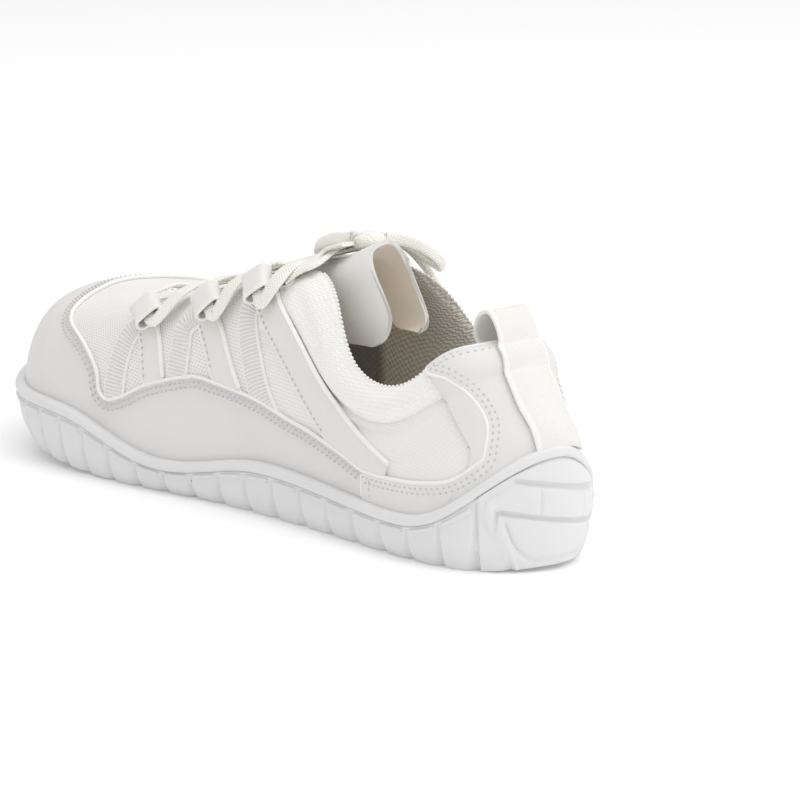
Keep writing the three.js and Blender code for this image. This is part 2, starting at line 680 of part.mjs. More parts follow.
// The tongue: an arched sheet from the toe end of the throat to its free top
function tongueSection(row, thickness) {
  const lift = (row.top - row.foot) * INSTEP_HEIGHT;
  const arch = TONGUE_ARCH.map(([side, up, flared]) => new THREE.Vector3(
    (row.along - 0.5 - row.lean * (1 - up)) * LENGTH,
    (side * row.half + Math.sign(side) * flared * row.flare) * BALL_WIDTH,
    row.foot * INSTEP_HEIGHT + up * lift,
  ));
  const under = arch.map((point, i) => {
    const run = arch[Math.min(i + 1, arch.length - 1)].clone().sub(arch[Math.max(i - 1, 0)]);
    return point.clone().add(new THREE.Vector3(0, run.z, -run.y).setLength(thickness));
  });
  return [...arch, ...under.reverse()];
}

function tongue() {
  return loft(TONGUE_ROWS.map((row) => tongueSection(named(TONGUE_COLUMNS, row), TONGUE_THICKNESS)));
}

// The heel strip: webbing up the back over the counter, then a free loop over the collar's edge
// and down to the lining
function heelStrip() {
  const near = 2 * CLEARANCE + OVERLAY_THICKNESS + 0.1;
  const shares = [-1, -0.5, 0, 0.5, 1];
  const across = new THREE.Vector3(0, 1, 0);
  const onWrap = (height, distance) => shares.map((share) => {
    const [station, level] = stepOnWrap({ x: 0, y: height }, across, (share * WEB_WIDTH) / 2);
    return skin(station, Math.min(level, EDGE), distance);
  });
  const start = aboveRim(0) + 0.12;
  const top = 3.6;
  const climb = range(8).map((i) => {
    const height = lerp(start, top, i / 7);
    return [...onWrap(height, near + WEB_THICKNESS), ...onWrap(height, near).reverse()];
  });
  const edge = surface(0, EDGE);
  const last = skin(0, top, near + WEB_THICKNESS / 2);
  const inside = lining(0, 3.1).addScaledVector(surfaceNormal(0, 3.1), -2 * near);
  const bend = (forward, up) => new THREE.Vector3(
    edge.x + forward * PULL_LOOP_REACH, 0, edge.z + up * PULL_LOOP_HEIGHT);
  const path = new THREE.CatmullRomCurve3([
    last, bend(-0.5, 0.6), bend(-0.05, 1), bend(0.5, 0.8), bend(0.68, 0.15), inside,
  ], false, 'centripetal');
  const bow = onWrap(top, near)[0].x - onWrap(top, near)[2].x;
  const steps = 14;
  const loop = range(steps).map((i) => {
    const t = (i + 1) / steps;
    const normal = across.clone().cross(path.getTangent(t)).normalize();
    const centre = path.getPoint(t);
    const row = (side) => shares.map((share) => centre.clone()
      .addScaledVector(across, (share * WEB_WIDTH) / 2)
      .addScaledVector(normal, side * (WEB_THICKNESS / 2))
      .add(new THREE.Vector3(bow * share ** 2, 0, 0)));
    const [high, low] = [row(-1), row(1)];
    return [...high, ...low.reverse()];
  });
  return loft([...climb, ...loop]);
}

// The lace: flat bands through the tunnels and across the tongue, one run above the other, then
// from the eyelets up to the knot
const LACE_LIFT = TUNNEL_BORE / 2 + STRAP_THICKNESS + 2 * CLEARANCE;
const LACE_LOW = 1.6;
const LACE_HIGH = 3.1;
const LACE_RISE = LACE_LIFT + 0.5;
const EDGE_LIFT = 3;
const CLIMB_LIFT = 1.2;
const EYELET_LIFT = LACE_THICKNESS / 2 + 2 * CLEARANCE;
const TOP_NORMAL = new THREE.Vector3(0.33, 0, 1);
const KNOT = { x: -42, y: 1, rise: 3.3 };
const KNOT_REACH = 9;

// Height of the tongue's top at a place along the foot
function tongueTop(x) {
  const rows = TONGUE_ROWS.map((row) => named(TONGUE_COLUMNS, row));
  const along = x / LENGTH + 0.5;
  const next = clamp(rows.findIndex((row) => row.along <= along), 1, rows.length - 1);
  const part = (along - rows[next - 1].along) / (rows[next].along - rows[next - 1].along);
  return lerp(rows[next - 1].top, rows[next].top, part) * INSTEP_HEIGHT;
}

function flatLace(stops, steps, room) {
  const path = new THREE.CatmullRomCurve3(stops.map((stop) => stop.at), false, 'centripetal');
  const tilt = new THREE.CatmullRomCurve3(stops.map((stop) => stop.normal), false, 'centripetal');
  return solidOf(loft(range(steps + 1).map((i) => {
    const t = i / steps;
    const at = path.getPoint(t);
    const run = path.getTangent(t);
    const side = tilt.getPoint(t).cross(run).normalize();
    const thin = run.clone().cross(side).normalize();
    return [[-1, -1], [1, -1], [1, 1], [-1, 1]].map(([a, b]) => at.clone()
      .addScaledVector(side, a * (LACE_WIDTH / 2 + room))
      .addScaledVector(thin, b * (LACE_THICKNESS / 2 + room)));
  })));
}

// The place on the wrap beside a tunnel's end, on the outer side
function besideTunnel(index, shift) {
  const row = named(TUNNEL_COLUMNS, TUNNEL_ROWS[index]);
  const { axis } = tunnelFrame(row, false);
  const reach = Math.sign(shift) * (row.length / 2 + Math.abs(shift));
  return stepOnWrap({ x: row.station, y: row.height }, axis, reach);
}

// The station on the outer side where the throat's edge lies at x
function edgeStation(x) {
  let rear = 5;
  let front = TOE_STATION;
  for (let pass = 0; pass < 20; pass += 1) {
    const middle = (rear + front) / 2;
    if (surface(middle, EDGE).x < x) rear = middle;
    else front = middle;
  }
  return rear;
}

// Stops from one place of the wrap up to the throat's edge
function climb(from, x, mirror, lift = LACE_RISE) {
  const to = [edgeStation(x), EDGE];
  return [0, 0.33, 0.66, 1].map((t) => {
    const [outer, height] = [lerp(from[0], to[0], t), lerp(from[1], to[1], t)];
    const station = mirror ? WRAP_COUNT - outer : outer;
    return {
      at: skin(station, height, lerp(lift, EDGE_LIFT, t) + CLIMB_LIFT * t * (1 - t)),
      normal: surfaceNormal(station, height),
    };
  });
}

function overTongue(x, y, rise) {
  const at = new THREE.Vector3(x, y, tongueTop(x) + TONGUE_THICKNESS + rise);
  return { at, normal: TOP_NORMAL };
}

// All the runs, each with room added round it
function laceRuns(room) {
  const through = (index, mirror) => {
    const { centre, axis, normal } = tunnelFrame(named(TUNNEL_COLUMNS, TUNNEL_ROWS[index]), mirror);
    const inside = (side) => (
      { at: centre.clone().addScaledVector(axis, (side * TUNNEL_ROWS[index][2]) / 2), normal });
    const beyond = (side) => {
      const [outer, height] = besideTunnel(index, side * LACE_REACH);
      const station = mirror ? WRAP_COUNT - outer : outer;
      return { at: skin(station, height, LACE_RISE), normal: surfaceNormal(station, height) };
    };
    return flatLace([beyond(-1), inside(-1), inside(1), beyond(1)], 3, room);
  };
  const cross = (index, mirror, x, rise) => flatLace([
    ...climb(besideTunnel(index, -LACE_TURN), x + 5, mirror), overTongue(x, 0, rise),
    ...climb(besideTunnel(index + 1, LACE_TURN), x - 5, !mirror).reverse(),
  ], 10, room);
  const front = besideTunnel(0, LACE_TURN);
  const bar = flatLace([
    ...climb(front, 42, false), overTongue(44, 0, LACE_LOW), ...climb(front, 42, true).reverse(),
  ], 8, room);
  const toEyelet = (mirror, rise) => flatLace([
    ...climb(besideTunnel(2, -LACE_TURN), -27, mirror),
    overTongue(-29, mirror ? -8 : 8, rise), overTongue(-33, mirror ? 8 : -8, rise),
    ...climb([EYELET_STATION, EYELET_HEIGHT], -35, !mirror, EYELET_LIFT).reverse(),
  ], 11, room);
  const toKnot = (mirror) => {
    return flatLace([
      ...climb([EYELET_STATION, EYELET_HEIGHT], -31, mirror, EYELET_LIFT).slice(2),
      ...(mirror ? [overTongue(-32.5, -12, 2.2), overTongue(-34.5, -8.5, 1.5)]
        : [overTongue(-34, 12, 3), overTongue(KNOT.x, KNOT.y + KNOT_REACH, KNOT.rise)]),
    ], 4, room);
  };
  const sides = [false, true].flatMap((mirror) => [
    ...range(TUNNEL_ROWS.length).map((index) => through(index, mirror)),
    cross(0, mirror, 14, mirror ? LACE_HIGH : LACE_LOW),
    cross(1, mirror, -12, mirror ? LACE_LOW : LACE_HIGH),
    toEyelet(mirror, mirror ? LACE_HIGH : LACE_LOW), toKnot(mirror),
  ]);
  return [bar, ...sides].reduce((whole, run) => whole.add(run));
}
function lace() {
  return geometryFrom(laceRuns(0));
}

// The knot: a wrapped lump, wide across the foot and waisted at both ends
const KNOT_SIZE = { x: 5, y: 5, z: 2.8 };
function knot() {
  const centre = overTongue(KNOT.x, KNOT.y, KNOT.rise).at;
  const ring = (share, size) => range(10).map((i) => {
    const angle = (i / 10) * 2 * Math.PI;
    return centre.clone().add(new THREE.Vector3(
      Math.cos(angle) * KNOT_SIZE.x * size,
      share * KNOT_SIZE.y,
      Math.sin(angle) * KNOT_SIZE.z * size,
    ));
  });
  return loft([ring(-1, 0.72), ring(-0.6, 0.98), ring(0, 1), ring(0.6, 0.98), ring(1, 0.72)]);
}

// The bow's loops and ends: free cords, each through chosen points from the knot
const CORD_DIAMETER = 2.8;
const CORD_POINTS = {
  lace_loop_outer: [
    [-44.9, -4.5, 95.4], [-47.2, -10.5, 94.4], [-49.5, -17.5, 91.0], [-50.0, -23.5, 86.4],
    [-47.5, -27.0, 83.4], [-45.0, -23.5, 86.4], [-44.2, -17.0, 91.0], [-43.1, -11.0, 94.2],
    [-41.9, -4.5, 95.2],
  ],
  lace_loop_inner: [
    [-35.4, 4.4, 95.2], [-30.0, 6.0, 94.6], [-21.0, 5.5, 91.2], [-14.5, 1.0, 88.0],
    [-14.0, -5.0, 87.4], [-20.0, -7.0, 90.0], [-28.0, -3.0, 93.6], [-35.4, 0.6, 95.2],
  ],
  lace_end_outer: [
    [-38.9, -4.7, 95.2], [-39.8, -10.5, 93.9], [-40.8, -16.5, 90.4], [-41.2, -21.0, 86.4],
    [-41.8, -26.0, 80.6], [-42.6, -30.0, 73.6], [-43.0, -32.6, 66.5],
  ],
  lace_end_inner: [
    [-35.6, -2.8, 95.0], [-31.0, -8.0, 94.2], [-27.0, -14.0, 92.4], [-23.5, -20.0, 90.4],
    [-20.0, -27.0, 88.0], [-17.5, -33.0, 83.5], [-16.5, -38.5, 75.0], [-16.5, -41.6, 66.0],
  ],
};
function cord(points) {
  const path = new THREE.CatmullRomCurve3(
    points.map((point) => new THREE.Vector3(...point)), false, 'centripetal');
  const section = new THREE.Shape(range(8).map((i) => new THREE.Vector2(CORD_DIAMETER / 2, 0)
    .rotateAround(new THREE.Vector2(), (i * Math.PI) / 4)));
  return new THREE.ExtrudeGeometry(section, {
    steps: Math.ceil(path.getLength() / (2 * CORD_DIAMETER)), extrudePath: path,
  });
}

const paint = (colour, roughness) => new THREE.MeshStandardMaterial({
  color: colour, roughness, metalness: 0,
});
const RUBBER = paint(0xe9e8e6, 0.55);
const MICROFIBRE = paint(0xe6e5e2, 0.6);
const MESH_CLOTH = paint(0xe4e2dc, 0.9);
const PADDING = paint(0xf3f1ea, 0.9);
const WEBBING = paint(0xece8de, 0.8);
const FOOTBED = paint(0xb9b3a6, 0.9);
const LACE = paint(0xf2eee2, 0.85);

const shoe = new THREE.Group();
function add(name, geometry, material) {
  const mesh = new THREE.Mesh(geometry, material);
  mesh.name = name;
  shoe.add(mesh);
}

add('outsole', loft(soleRings()), RUBBER);
add('insole', loft(insoleRings()), FOOTBED);
add('upper', upper(), MESH_CLOTH);
add('mudguard', overlay(mudguardZone(0)), MICROFIBRE);
add('counter', overlay(counterZone(0)), MICROFIBRE);
add('tongue', tongue(), PADDING);
range(TUNNEL_ROWS.length).forEach((index) => {
  add(`straps_outer_${index + 1}`, strapPair(index, false), WEBBING);
  add(`straps_inner_${index + 1}`, strapPair(index, true), WEBBING);
});
add('heel_strip', heelStrip(), WEBBING);
add('lace', lace(), LACE);
add('lace_knot', knot(), LACE);
Object.entries(CORD_POINTS).forEach(([name, points]) => add(name, cord(points), LACE));

// The shoe's box is centred on the origin in plan
const soleBox = new THREE.Box3().setFromObject(shoe.children[0]);
const soleCentre = soleBox.getCenter(new THREE.Vector3());
shoe.position.set(-soleCentre.x, -soleCentre.y, 0);

export default shoe;
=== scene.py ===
"""A left barefoot shoe, dressed for its picture: cup sole, mesh upper, overlays, tongue, straps and lace.

Sizes in the tables and functions are millimetres, with +X to the toe, +Y to the outer side and +Z up.
"""
import math

import bpy
import numpy as np
from bpy.props import FloatProperty, FloatVectorProperty, IntProperty, PointerProperty
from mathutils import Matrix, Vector


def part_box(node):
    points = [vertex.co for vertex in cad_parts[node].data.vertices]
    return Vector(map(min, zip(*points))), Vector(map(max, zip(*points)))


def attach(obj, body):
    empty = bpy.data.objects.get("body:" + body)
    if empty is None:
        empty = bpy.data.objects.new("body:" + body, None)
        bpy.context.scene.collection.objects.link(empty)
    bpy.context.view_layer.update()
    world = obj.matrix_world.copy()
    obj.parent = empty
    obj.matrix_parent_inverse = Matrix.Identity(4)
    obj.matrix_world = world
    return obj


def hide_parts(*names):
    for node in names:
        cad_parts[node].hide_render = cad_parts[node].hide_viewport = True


bl_info = {
    "name": "Barefoot shoe",
    "version": (1, 0, 0),
    "blender": (4, 5, 0),
    "location": "3D View > Sidebar > Shoe",
    "description": "Builds the surfaces of a left barefoot shoe round its solids",
    "category": "Object",
}

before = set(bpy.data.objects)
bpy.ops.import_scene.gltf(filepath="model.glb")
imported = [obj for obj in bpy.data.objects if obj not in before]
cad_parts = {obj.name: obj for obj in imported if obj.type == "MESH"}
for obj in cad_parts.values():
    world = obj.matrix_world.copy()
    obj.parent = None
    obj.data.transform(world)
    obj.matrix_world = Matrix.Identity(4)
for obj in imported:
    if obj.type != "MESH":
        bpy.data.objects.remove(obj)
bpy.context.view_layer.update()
MM = 0.001

# Driving sizes of the last and the sole
LENGTH = 288.0
BALL_WIDTH = 109.0
HEEL_HEIGHT = 73.0
INSTEP_HEIGHT = 85.0
CUP_HEIGHT = 44.0
TOE_SPRING = 15.0
HEEL_SPRING = 3.0
SPRING_START = 0.62
HEEL_SPRING_START = 0.09
TOE_CURVE = 1.9
SOLE_THICKNESS = 7.0
SOLE_WALL = 3.6
SOLE_TUCK = 5.0
BEAD_HEIGHT = 4.0
CLEARANCE = 0.3
UPPER_WALL = 1.8
COLLAR_ROLL = 2.5
OVERLAY_THICKNESS = 1.0
TONGUE_THICKNESS = 2.6
STRAP_THICKNESS = 1.2
STRAP_GAP = 0.55
WEB_WIDTH = 17.0
WEB_THICKNESS = 1.4
PULL_LOOP_HEIGHT = 10.0
PULL_LOOP_REACH = 9.0
TUNNEL_HEIGHT = 9.0
LACE_WIDTH = 7.0
LACE_THICKNESS = 1.6
EYELET_STATION = 5.74
EYELET_HEIGHT = 3.5
EYELET_BORE = 4.6

# The wrap: a row for each station round the foot, from the back of the heel by the outer side to the
# toe and back by the inner side. along and edge_along are shares of LENGTH from the back; side and
# edge_side of BALL_WIDTH; rim of CUP_HEIGHT; edge_heel of HEEL_HEIGHT and edge_instep of
# INSTEP_HEIGHT add up to the height of the opening's edge. low and high are two points of the
# profile between rim and edge: how far in, and how far up, as shares of that stretch.
WRAP_COLUMNS = ("along", "side", "rim", "low_in", "low_up", "high_in", "high_up",
                "edge_along", "edge_side", "edge_heel", "edge_instep", "roll")
WRAP_ROWS = (
    ("heel back", 0.000, 0.000, 0.965, 0.30, 0.38, 0.66, 0.74, 0.106, 0.000, 0.993, 0.000, 1.0),
    ("outer heel corner", 0.038, 0.205, 0.770, 0.24, 0.36, 0.58, 0.74, 0.113, 0.092, 0.985, 0.000, 1.0),
    ("outer heel side", 0.115, 0.305, 0.420, 0.06, 0.33, 0.38, 0.74, 0.139, 0.174, 0.932, 0.000, 1.0),
    ("outer collar low", 0.215, 0.326, 0.375, -0.02, 0.32, 0.30, 0.69, 0.188, 0.239, 0.773, 0.000, 1.0),
    ("outer collar side", 0.330, 0.330, 0.430, 0.00, 0.35, 0.40, 0.72, 0.262, 0.258, 0.420, 0.356, 1.0),
    ("outer collar front", 0.430, 0.345, 0.440, 0.02, 0.40, 0.42, 0.80, 0.318, 0.210, 0.000, 0.936, 0.8),
    ("outer facing top", 0.515, 0.370, 0.335, 0.03, 0.42, 0.42, 0.84, 0.395, 0.150, 0.000, 1.000, 0.0),
    ("outer facing middle", 0.610, 0.425, 0.310, 0.05, 0.44, 0.42, 0.84, 0.500, 0.145, 0.000, 0.897, 0.0),
    ("outer facing low", 0.715, 0.475, 0.530, 0.06, 0.46, 0.42, 0.86, 0.620, 0.138, 0.000, 0.786, 0.0),
    ("little toe", 0.815, 0.475, 0.590, 0.06, 0.48, 0.40, 0.88, 0.700, 0.110, 0.000, 0.713, 0.0),
    ("toe corner", 0.915, 0.344, 0.610, 0.07, 0.48, 0.34, 0.88, 0.748, 0.062, 0.000, 0.697, 0.0),
    ("toe tip", 0.995, 0.010, 0.650, 0.07, 0.48, 0.32, 0.90, 0.764, 0.000, 0.000, 0.697, 0.0),
    ("big toe", 0.975, -0.325, 0.630, 0.07, 0.48, 0.34, 0.88, 0.748, -0.062, 0.000, 0.697, 0.0),
    ("big toe side", 0.870, -0.490, 0.580, 0.06, 0.48, 0.40, 0.88, 0.700, -0.110, 0.000, 0.713, 0.0),
    ("inner facing low", 0.740, -0.512, 0.530, 0.06, 0.46, 0.42, 0.86, 0.620, -0.138, 0.000, 0.786, 0.0),
    ("inner facing middle", 0.620, -0.455, 0.360, 0.05, 0.44, 0.42, 0.84, 0.500, -0.145, 0.000, 0.889, 0.0),
    ("inner facing top", 0.515, -0.372, 0.380, 0.03, 0.42, 0.42, 0.84, 0.395, -0.150, 0.000, 0.979, 0.0),
    ("inner collar front", 0.425, -0.325, 0.440, 0.02, 0.40, 0.42, 0.80, 0.318, -0.210, 0.000, 0.910, 0.8),
    ("inner collar side", 0.330, -0.305, 0.430, 0.00, 0.35, 0.40, 0.72, 0.262, -0.256, 0.420, 0.356, 1.0),
    ("inner collar low", 0.215, -0.300, 0.375, -0.02, 0.32, 0.30, 0.69, 0.188, -0.239, 0.765, 0.000, 1.0),
    ("inner heel side", 0.115, -0.285, 0.400, 0.06, 0.33, 0.38, 0.74, 0.141, -0.165, 0.905, 0.000, 1.0),
    ("inner heel corner", 0.038, -0.192, 0.620, 0.24, 0.36, 0.58, 0.74, 0.113, -0.087, 0.985, 0.000, 1.0),
)
WRAP = np.array([row[1:] for row in WRAP_ROWS])
STATIONS = len(WRAP_ROWS)
TOE = STATIONS / 2
# Heights on the profile: the foot, the crease under the collar's roll, and the opening's edge
FEATHER, CREASE, EDGE = 0.0, 3.0, 4.0
# How far the wrap's rim point lies below the top of the cup
RIM_HIDDEN = 1.5

# Where the layers end, as (station, height on the profile); the inner side mirrors the outer one
SEAM_STATION = 3.12
MUDGUARD_EDGE = (
    (3.12, 1.88), (3.50, 2.07), (3.95, 2.12), (4.40, 2.02), (5.20, 1.94), (5.80, 1.98), (6.30, 2.04),
    (7.00, 1.92), (7.40, 1.66), (7.58, 1.56), (7.68, 1.60), (7.80, 1.89), (8.20, 2.25), (8.90, 2.64),
    (9.70, 3.16), (10.30, 3.36), (11.00, 3.42),
)
COUNTER_LOW_EDGE = (
    (3.12, 1.88), (2.62, 1.85), (2.08, 1.73), (1.60, 1.55), (1.10, 1.50), (0.50, 1.50), (0.00, 1.50),
)
COUNTER_BACK_EDGE = (
    (1.20, 1.30), (1.12, 1.62), (1.06, 2.15), (1.16, 2.50), (1.38, 2.85), (1.74, 3.22), (2.10, 3.52),
    (2.34, 3.98),
)

# Lace tunnels: place on the wrap and length of the bore, one row for each pair of straps on a side
TUNNEL_ROWS = ((7.47, 2.86, 10.0), (6.57, 2.95, 10.0), (5.90, 3.20, 10.5))
# Strap legs: pair, then foot, middle and top as station and height, then width at foot and top
LEG_ROWS = (
    (1, 7.46, 1.50, 7.52, 2.20, 7.56, 2.58, 9.5, 8.0),
    (1, 6.84, 1.85, 7.12, 2.35, 7.34, 2.62, 10.5, 9.0),
    (2, 6.50, 1.92, 6.62, 2.33, 6.76, 2.70, 9.5, 8.5),
    (2, 5.40, 1.82, 6.02, 2.37, 6.47, 2.75, 12.0, 9.5),
    (3, 4.66, 1.82, 5.16, 2.30, 5.72, 2.80, 11.0, 8.5),
    (3, 2.80, 1.70, 3.95, 2.70, 5.30, 2.94, 15.0, 10.5),
)
# The tongue from the toe end of the throat to its free top: along is a share of LENGTH, lean how far
# its sides fall back, half and flare of BALL_WIDTH, top and foot of INSTEP_HEIGHT
TONGUE_ROWS = np.array((
    (0.770, 0.000, 0.104, 0.665, 0.592, 0.000),
    (0.742, 0.000, 0.112, 0.673, 0.602, 0.000),
    (0.680, 0.000, 0.146, 0.714, 0.620, 0.000),
    (0.600, 0.000, 0.168, 0.790, 0.706, 0.000),
    (0.500, 0.000, 0.169, 0.882, 0.801, 0.000),
    (0.420, 0.000, 0.162, 0.970, 0.815, 0.000),
    (0.380, 0.008, 0.138, 1.018, 0.730, 0.010),
    (0.350, 0.028, 0.122, 1.052, 0.720, 0.030),
    (0.322, 0.048, 0.113, 1.085, 0.720, 0.050),
))
# Its root, sewn under the front of the throat, and the thickness of its cloth
TONGUE_ROOT = (0.800, 0.000, 0.140, 0.632, 0.590, 0.000)
TONGUE_SHEET = 1.7
# The tongue's arch from the outer foot over the top: share of the half width, of the height, flare
TONGUE_ARCH = np.array((
    (1.00, 0.00, 1.0), (0.96, 0.12, 0.55), (0.95, 0.32, 0.12), (0.91, 0.58, 0.0), (0.76, 0.83, 0.0),
    (0.44, 0.96, 0.0), (0.00, 1.00, 0.0), (-0.44, 0.96, 0.0), (-0.74, 0.82, 0.0),
    (-0.88, 0.57, 0.0), (-0.95, 0.32, 0.1), (-1.00, 0.00, 0.25),
))
# The outer face's free edge, from the outer corner over the top to the inner corner, in millimetres,
# and the share of LENGTH where the tongue starts to bend towards it
FREE_EDGE = (
    (-61.5, 15.3, 63.2), (-66.5, 15.2, 65.9), (-69.4, 15.1, 70.2), (-69.9, 14.9, 74.8),
    (-67.2, 14.5, 78.9), (-63.9, 14.0, 82.6), (-60.4, 13.7, 86.8), (-57.4, 12.8, 91.3),
    (-54.6, 9.8, 95.0), (-51.2, 1.5, 96.6), (-48.2, -5.0, 95.1), (-46.6, -10.4, 90.9),
    (-47.2, -13.2, 85.2), (-49.8, -14.3, 79.0), (-52.8, -14.7, 73.6), (-55.2, -14.9, 68.4),
    (-55.2, -14.2, 64.6), (-52.2, -13.2, 62.4),
)
FREE_START = 0.388
INNER_LEAN = 0.55
FLARE_SHARE = 0.35
ARCH_POINTS = 61


# Smooth curves
CURVE_STEPS = 24


def hermite(u):
    return (2 * u**3 - 3 * u**2 + 1, u**3 - 2 * u**2 + u, -2 * u**3 + 3 * u**2, u**3 - u**2)


def closed_slopes(values):
    count = len(values)
    system = 4 * np.eye(count) + np.roll(np.eye(count), 1, 0) + np.roll(np.eye(count), -1, 0)
    return np.linalg.solve(system, 3 * (np.roll(values, -1, 0) - np.roll(values, 1, 0)))


def open_slope_matrix(count):
    """Turns a profile's points into the slopes of the natural curve through them."""
    system, change = np.zeros((count, count)), np.zeros((count, count))
    for i in range(count):
        before, after = max(i - 1, 0), min(i + 1, count - 1)
        system[i, i] = 4 if 0 < i < count - 1 else 2
        if i > 0:
            system[i, before] += 1
        if i < count - 1:
            system[i, after] += 1
        change[i, after] += 3
        change[i, before] -= 3
    return np.linalg.solve(system, change)


WRAP_SLOPES = closed_slopes(WRAP)
PROFILE_SLOPES = open_slope_matrix(5)


def run_lengths(points):
    """Distance along a line of points, from its first."""
    return np.concatenate([[0], np.cumsum(np.linalg.norm(np.diff(points, axis=0), axis=1))])


def through(points, count):
    """Points evenly spaced along a smooth curve through the given ones."""
    points = np.asarray(points, float)
    ends = np.vstack([2 * points[0] - points[1], points, 2 * points[-1] - points[-2]])
    gaps = np.maximum(np.linalg.norm(np.diff(ends, axis=0), axis=1), 1e-6) ** 0.5
    h = hermite(np.linspace(0, 1, CURVE_STEPS, endpoint=False)[:, None])
    fine = []
    for i in range(1, len(ends) - 2):
        p0, p1, p2, p3 = ends[i - 1:i + 3]
        a, b, c = gaps[i - 1:i + 2]
        start = ((p1 - p0) / a - (p2 - p0) / (a + b) + (p2 - p1) / b) * b
        finish = ((p2 - p1) / b - (p3 - p1) / (b + c) + (p3 - p2) / c) * b
        fine.append(h[0] * p1 + h[1] * start + h[2] * p2 + h[3] * finish)
    fine = np.vstack([*fine, points[-1:]])
    run = run_lengths(fine)
    at = np.linspace(0, run[-1], count)
    return np.stack([np.interp(at, run, values) for values in fine.T], axis=1)


def mix(a, b, share):
    return a + (b - a) * share


def smooth(low, high, value):
    share = np.clip((value - low) / (high - low), 0, 1)
    return share * share * (3 - 2 * share)


def unit(vectors):
    return vectors / np.linalg.norm(vectors, axis=-1, keepdims=True)


def nearest(share, count):
    """The whole number of steps, out of a count, that is nearest to a share."""
    return np.rint(share * count).astype(int)


# The wrap
def wrap_at(station):
    turn = np.mod(station, STATIONS)
    i = np.minimum(turn.astype(int), STATIONS - 1)
    a, b, c, d = (part[..., None] for part in hermite(turn - i))
    j = (i + 1) % STATIONS
    values = a * WRAP[i] + b * WRAP_SLOPES[i] + c * WRAP[j] + d * WRAP_SLOPES[j]
    return dict(zip(WRAP_COLUMNS, np.moveaxis(values, -1, 0)))


def outline(station, inset=0.0):
    """The sole's outline in plan, moved inwards."""
    def at(place):
        row = wrap_at(place)
        return np.stack([(row["along"] - 0.5) * LENGTH, row["side"] * BALL_WIDTH], -1)
    station = np.asarray(station, float)
    run = unit(at(station + 1e-3) - at(station - 1e-3))
    out = np.stack([-run[..., 1], run[..., 0]], -1)
    return at(station) - out * np.asarray(inset, float)[..., None]


def spring(x):
    """Height of the sole's underside: flat under heel and ball, up at the toe and at the back."""
    along = x / LENGTH + 0.5
    toe = np.clip((along - SPRING_START) / (1 - SPRING_START), 0, 1)
    heel = np.clip((HEEL_SPRING_START - along) / HEEL_SPRING_START, 0, 1)
    return TOE_SPRING * toe**TOE_CURVE + HEEL_SPRING * heel**2


def rim_height(station):
    return wrap_at(np.asarray(station, float))["rim"] * CUP_HEIGHT


def profile(station):
    row = wrap_at(station)
    foot = outline(station, SOLE_WALL + CLEARANCE)
    rim = row["rim"] * CUP_HEIGHT - RIM_HIDDEN
    edge = np.stack([(row["edge_along"] - 0.5) * LENGTH, row["edge_side"] * BALL_WIDTH,
                     row["edge_heel"] * HEEL_HEIGHT + row["edge_instep"] * INSTEP_HEIGHT], -1)

    def between(inward, up):
        flat = mix(foot, edge[..., :2], inward[..., None])
        return np.concatenate([flat, mix(rim, edge[..., 2], up)[..., None]], -1)

    def over_foot(height):
        return np.concatenate([foot, height[..., None]], -1)

    return np.stack([over_foot(spring(foot[..., 0]) + SOLE_THICKNESS + CLEARANCE), over_foot(rim),
                     between(row["low_in"], row["low_up"]), between(row["high_in"], row["high_up"]),
                     edge], -2)


def surface(station, height):
    station, height = np.broadcast_arrays(np.asarray(station, float), np.asarray(height, float))
    points = profile(station)
    slopes = np.einsum("ij,...jk->...ik", PROFILE_SLOPES, points)
    i = np.clip(height.astype(int), 0, 3)[..., None, None]
    a, b, c, d = (part[..., None] for part in hermite(height - i[..., 0, 0]))

    def take(values, index):
        return np.take_along_axis(values, np.broadcast_to(index, (*height.shape, 1, 3)), -2)[..., 0, :]
    return (a * take(points, i) + b * take(slopes, i)
            + c * take(points, i + 1) + d * take(slopes, i + 1))


def surface_normal(station, height):
    step = 1e-3
    station, height = np.broadcast_arrays(np.asarray(station, float), np.asarray(height, float))
    round_foot = surface(station + step, height) - surface(station - step, height)
    up = (surface(station, np.minimum(height + step, EDGE))
          - surface(station, np.maximum(height - step, FEATHER)))
    return unit(np.cross(up, round_foot))


def skin(station, height, distance=0.0):
    """The outer face of the upper, with the padded roll of the collar, moved out by a distance."""
    station, height = np.broadcast_arrays(np.asarray(station, float), np.asarray(height, float))
    swell = np.sin(np.pi * np.clip((height - CREASE) / (EDGE - CREASE), 0, 1))
    roll = COLLAR_ROLL * np.clip(wrap_at(station)["roll"], 0, 1) * swell
    return (surface(station, height)
            + surface_normal(station, height) * (roll + distance)[..., None])


def lining(station, height):
    return surface(station, height) - surface_normal(station, height) * UPPER_WALL


def height_at_level(station, level):
    """The height on the profile where the wrap reaches a level."""
    low, high = np.zeros_like(station), np.full_like(station, CREASE)
    for _ in range(18):
        middle = (low + high) / 2
        below = surface(station, middle)[..., 2] < level
        low, high = np.where(below, middle, low), np.where(below, high, middle)
    return low


def step_on_wrap(station, height, direction, distance):
    """The place of the wrap that lies a distance away from another along a direction."""
    step = 0.01
    origin = skin(station, height)
    round_foot = (skin(station + step, height) - origin) / step
    up = (skin(station, height + step) - origin) / step
    move = direction * np.asarray(distance, float)[..., None]
    rr, uu = (round_foot**2).sum(-1), (up**2).sum(-1)
    ru, mr, mu = (round_foot * up).sum(-1), (move * round_foot).sum(-1), (move * up).sum(-1)
    scale = rr * uu - ru * ru
    return station + (mr * uu - mu * ru) / scale, height + (mu * rr - mr * ru) / scale


